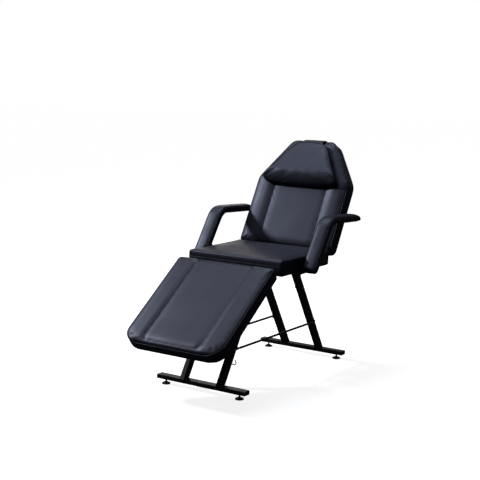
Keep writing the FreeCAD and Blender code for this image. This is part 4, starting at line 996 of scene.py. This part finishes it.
# %% A tree that sets rods or beads along a line
def row_tree(name, bead=False):
    tree = bpy.data.node_groups.new(name, "GeometryNodeTree")
    face = tree.interface
    face.new_socket("Geometry", in_out="INPUT", socket_type="NodeSocketGeometry")
    for measure in ("Spacing", "Length", "Radius"):
        face.new_socket(measure, in_out="INPUT", socket_type="NodeSocketFloat")
    face.new_socket("Material", in_out="INPUT", socket_type="NodeSocketMaterial")
    face.new_socket("Geometry", in_out="OUTPUT", socket_type="NodeSocketGeometry")
    given = add(tree, "NodeGroupInput")
    line = add(tree, "GeometryNodeMeshToCurve", {"Mesh": given.outputs["Geometry"]})
    marks = add(tree, "GeometryNodeCurveToPoints", {"Curve": line.outputs["Curve"],
                                                    "Length": given.outputs["Spacing"]}, mode="LENGTH")
    if bead:
        rod = add(tree, "GeometryNodeMeshIcoSphere", {"Radius": given.outputs["Radius"], "Subdivisions": 2})
    else:
        rod = add(tree, "GeometryNodeMeshCylinder", {"Vertices": 6, "Radius": given.outputs["Radius"],
                                                     "Depth": given.outputs["Length"]})
    aim = add(tree, "FunctionNodeAlignEulerToVector", {"Vector": marks.outputs["Tangent"]}, axis="Z")
    set_rods = add(tree, "GeometryNodeInstanceOnPoints", {"Points": marks.outputs["Points"],
                                                          "Instance": rod.outputs["Mesh"],
                                                          "Rotation": aim.outputs["Rotation"]})
    real = add(tree, "GeometryNodeRealizeInstances", {"Geometry": set_rods.outputs["Instances"]})
    coated = add(tree, "GeometryNodeSetMaterial", {"Geometry": real.outputs["Geometry"],
                                                   "Material": given.outputs["Material"]})
    add(tree, "NodeGroupOutput", {"Geometry": coated.outputs["Geometry"]})
    return tree


STITCH = {"Spacing": 0.0075, "Length": 0.0052, "Radius": 0.0004}
STAPLE = {"Spacing": 0.030, "Length": 0.010, "Radius": 0.0006}
WELD = {"Spacing": 0.0022, "Radius": 0.0023}
rods = row_tree("rods along a line")
beads = row_tree("beads along a line", bead=True)


def row_along(tree, name, lines, body, material, row):
    """Bake the tree over several open lines into one plain piece."""
    points, edges, base = [], [], 0
    for line in lines:
        points += [tuple(p) for p in line]
        edges += [(base + k, base + k + 1) for k in range(len(line) - 1)]
        base += len(line)
    mesh = bpy.data.meshes.new(name + "_line")
    mesh.from_pydata(points, edges, [])
    guide = placed(name + "_line", mesh)
    modifier = guide.modifiers.new("rods", "NODES")
    modifier.node_group = tree
    wanted = {"Material": material, **row}
    for socket in tree.interface.items_tree:
        if socket.in_out == "INPUT" and socket.name in wanted:
            modifier[socket.identifier] = wanted[socket.name]
    baked = evaluated_copy(guide)
    bpy.data.objects.remove(guide)
    baked.name = name
    finish_piece(name, baked, body, material)


def stitch_rows(name, panel, mesh, body, x, start, last):
    """Stitches at x to both sides of the middle, a little inside the seams, on the finished skin."""
    surface = surface_of(mesh)
    down = -Vector(panel.matrix.col[2][:3])
    along = np.arange(0.02, last, 0.004)
    lines = []
    for side in (1, -1):
        above = np.c_[np.full(len(along), side * x), along + start, np.full(len(along), 0.12)]
        hits = [surface.ray_cast(Vector(p), down) for p in panel.world_array(above)]
        lines.append(np.array([tuple(hit[0] + hit[1] * SEAM_LIFT) for hit in hits if hit[0] is not None]))
    row_along(rods, name, lines, body, thread, STITCH)


stitch_rows("legrest_stitches", legrest_panel, legrest_mesh, "legrest", 0.1685, LEGREST["start"], 0.55)
stitch_rows("backrest_stitches", back_panel, back_mesh, "backrest", 0.1690, BACK["start"],
            PILLOW["low"] - BACK["start"])

# %% [markdown]
# Staples hold the cloth to the underside of each board, 30 mm apart and a little inside its edge.
# They are 10 mm crowns of zinc plated wire. None is shot where a tube or a bracket covers the edge.

# %% Staples
STAPLE_INSET = 0.027
END_INSET = 0.034
CLOTH_GAP = 0.0016
TUBE_ROOM = (0.180, 0.218)


def staple_lines(spec, panel, last_half):
    """Two side lines and two end lines on a panel's cloth; the near one skips the side tubes."""
    level = spec["low"] - CLOTH_GAP
    half = spec["half"] - STAPLE_INSET
    first = spec["start"] + STAPLE_INSET
    last = spec["start"] + spec["length"] - END_INSET
    bend = spec.get("shoulder", spec["length"] / 2) + spec["start"]
    lines = [[(side * half, first), (side * half, bend), (side * last_half, last)] for side in (-1, 1)]
    lines.append([(-last_half + 0.015, last), (last_half - 0.015, last)])
    lines.append([(-TUBE_ROOM[0], first), (TUBE_ROOM[0], first)])
    lines += [[(side * TUBE_ROOM[1], first), (side * (half - 0.01), first)] for side in (-1, 1)]
    return [panel.world_array(np.c_[np.array(line), np.full(len(line), level)]) for line in lines]


def staple_row(name, lines, body):
    row_along(rods, name, lines, body, zinc, STAPLE)


staple_row("legrest_staples", staple_lines(LEGREST, legrest_panel, LEGREST["half"] - 0.055), "legrest")
staple_row("backrest_staples", staple_lines(BACK, back_panel, BACK["top_half"] - 0.021), "backrest")
bracket_low, bracket_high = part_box("arm_bracket_left")
seat_level = SEAT["low"] - CLOTH_GAP
seat_edge = SEAT["half"] - STAPLE_INSET
bracket_span = (bracket_low[1] - seat_front - 0.01, bracket_high[1] - seat_front + 0.01)
lines = []
for side in (-1, 1):
    for first, last in ((0.03, bracket_span[0]), (bracket_span[1], SEAT["length"] / 2)):
        if last > first:
            line = [(side * seat_edge, first, seat_level), (side * seat_edge, last, seat_level)]
            lines.append(seat_panel.world_array(line))
staple_row("seat_staples", lines, "stand")

# %% [markdown]
# The stand is welded where the legs meet the foot bars. A weld is a row of overlapping drops of
# once-molten steel under the same powder coat, about 5 mm wide.

# %% Weld beads
bar_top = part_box("foot_bar_front")[1][2]
lines = []
for end in ("front", "rear"):
    bar_low, bar_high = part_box("foot_bar_" + end)
    for word in ("left", "right"):
        leg_low, leg_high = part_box("%s_leg_%s" % (end, word))
        for x in (leg_low[0], leg_high[0]):
            lines.append(np.array([(x, bar_low[1] + 0.003, bar_top), (x, bar_high[1] - 0.003, bar_top)]))
row_along(beads, "foot_welds", lines, "stand", paint, WELD)
print("weld rows:", len(lines))
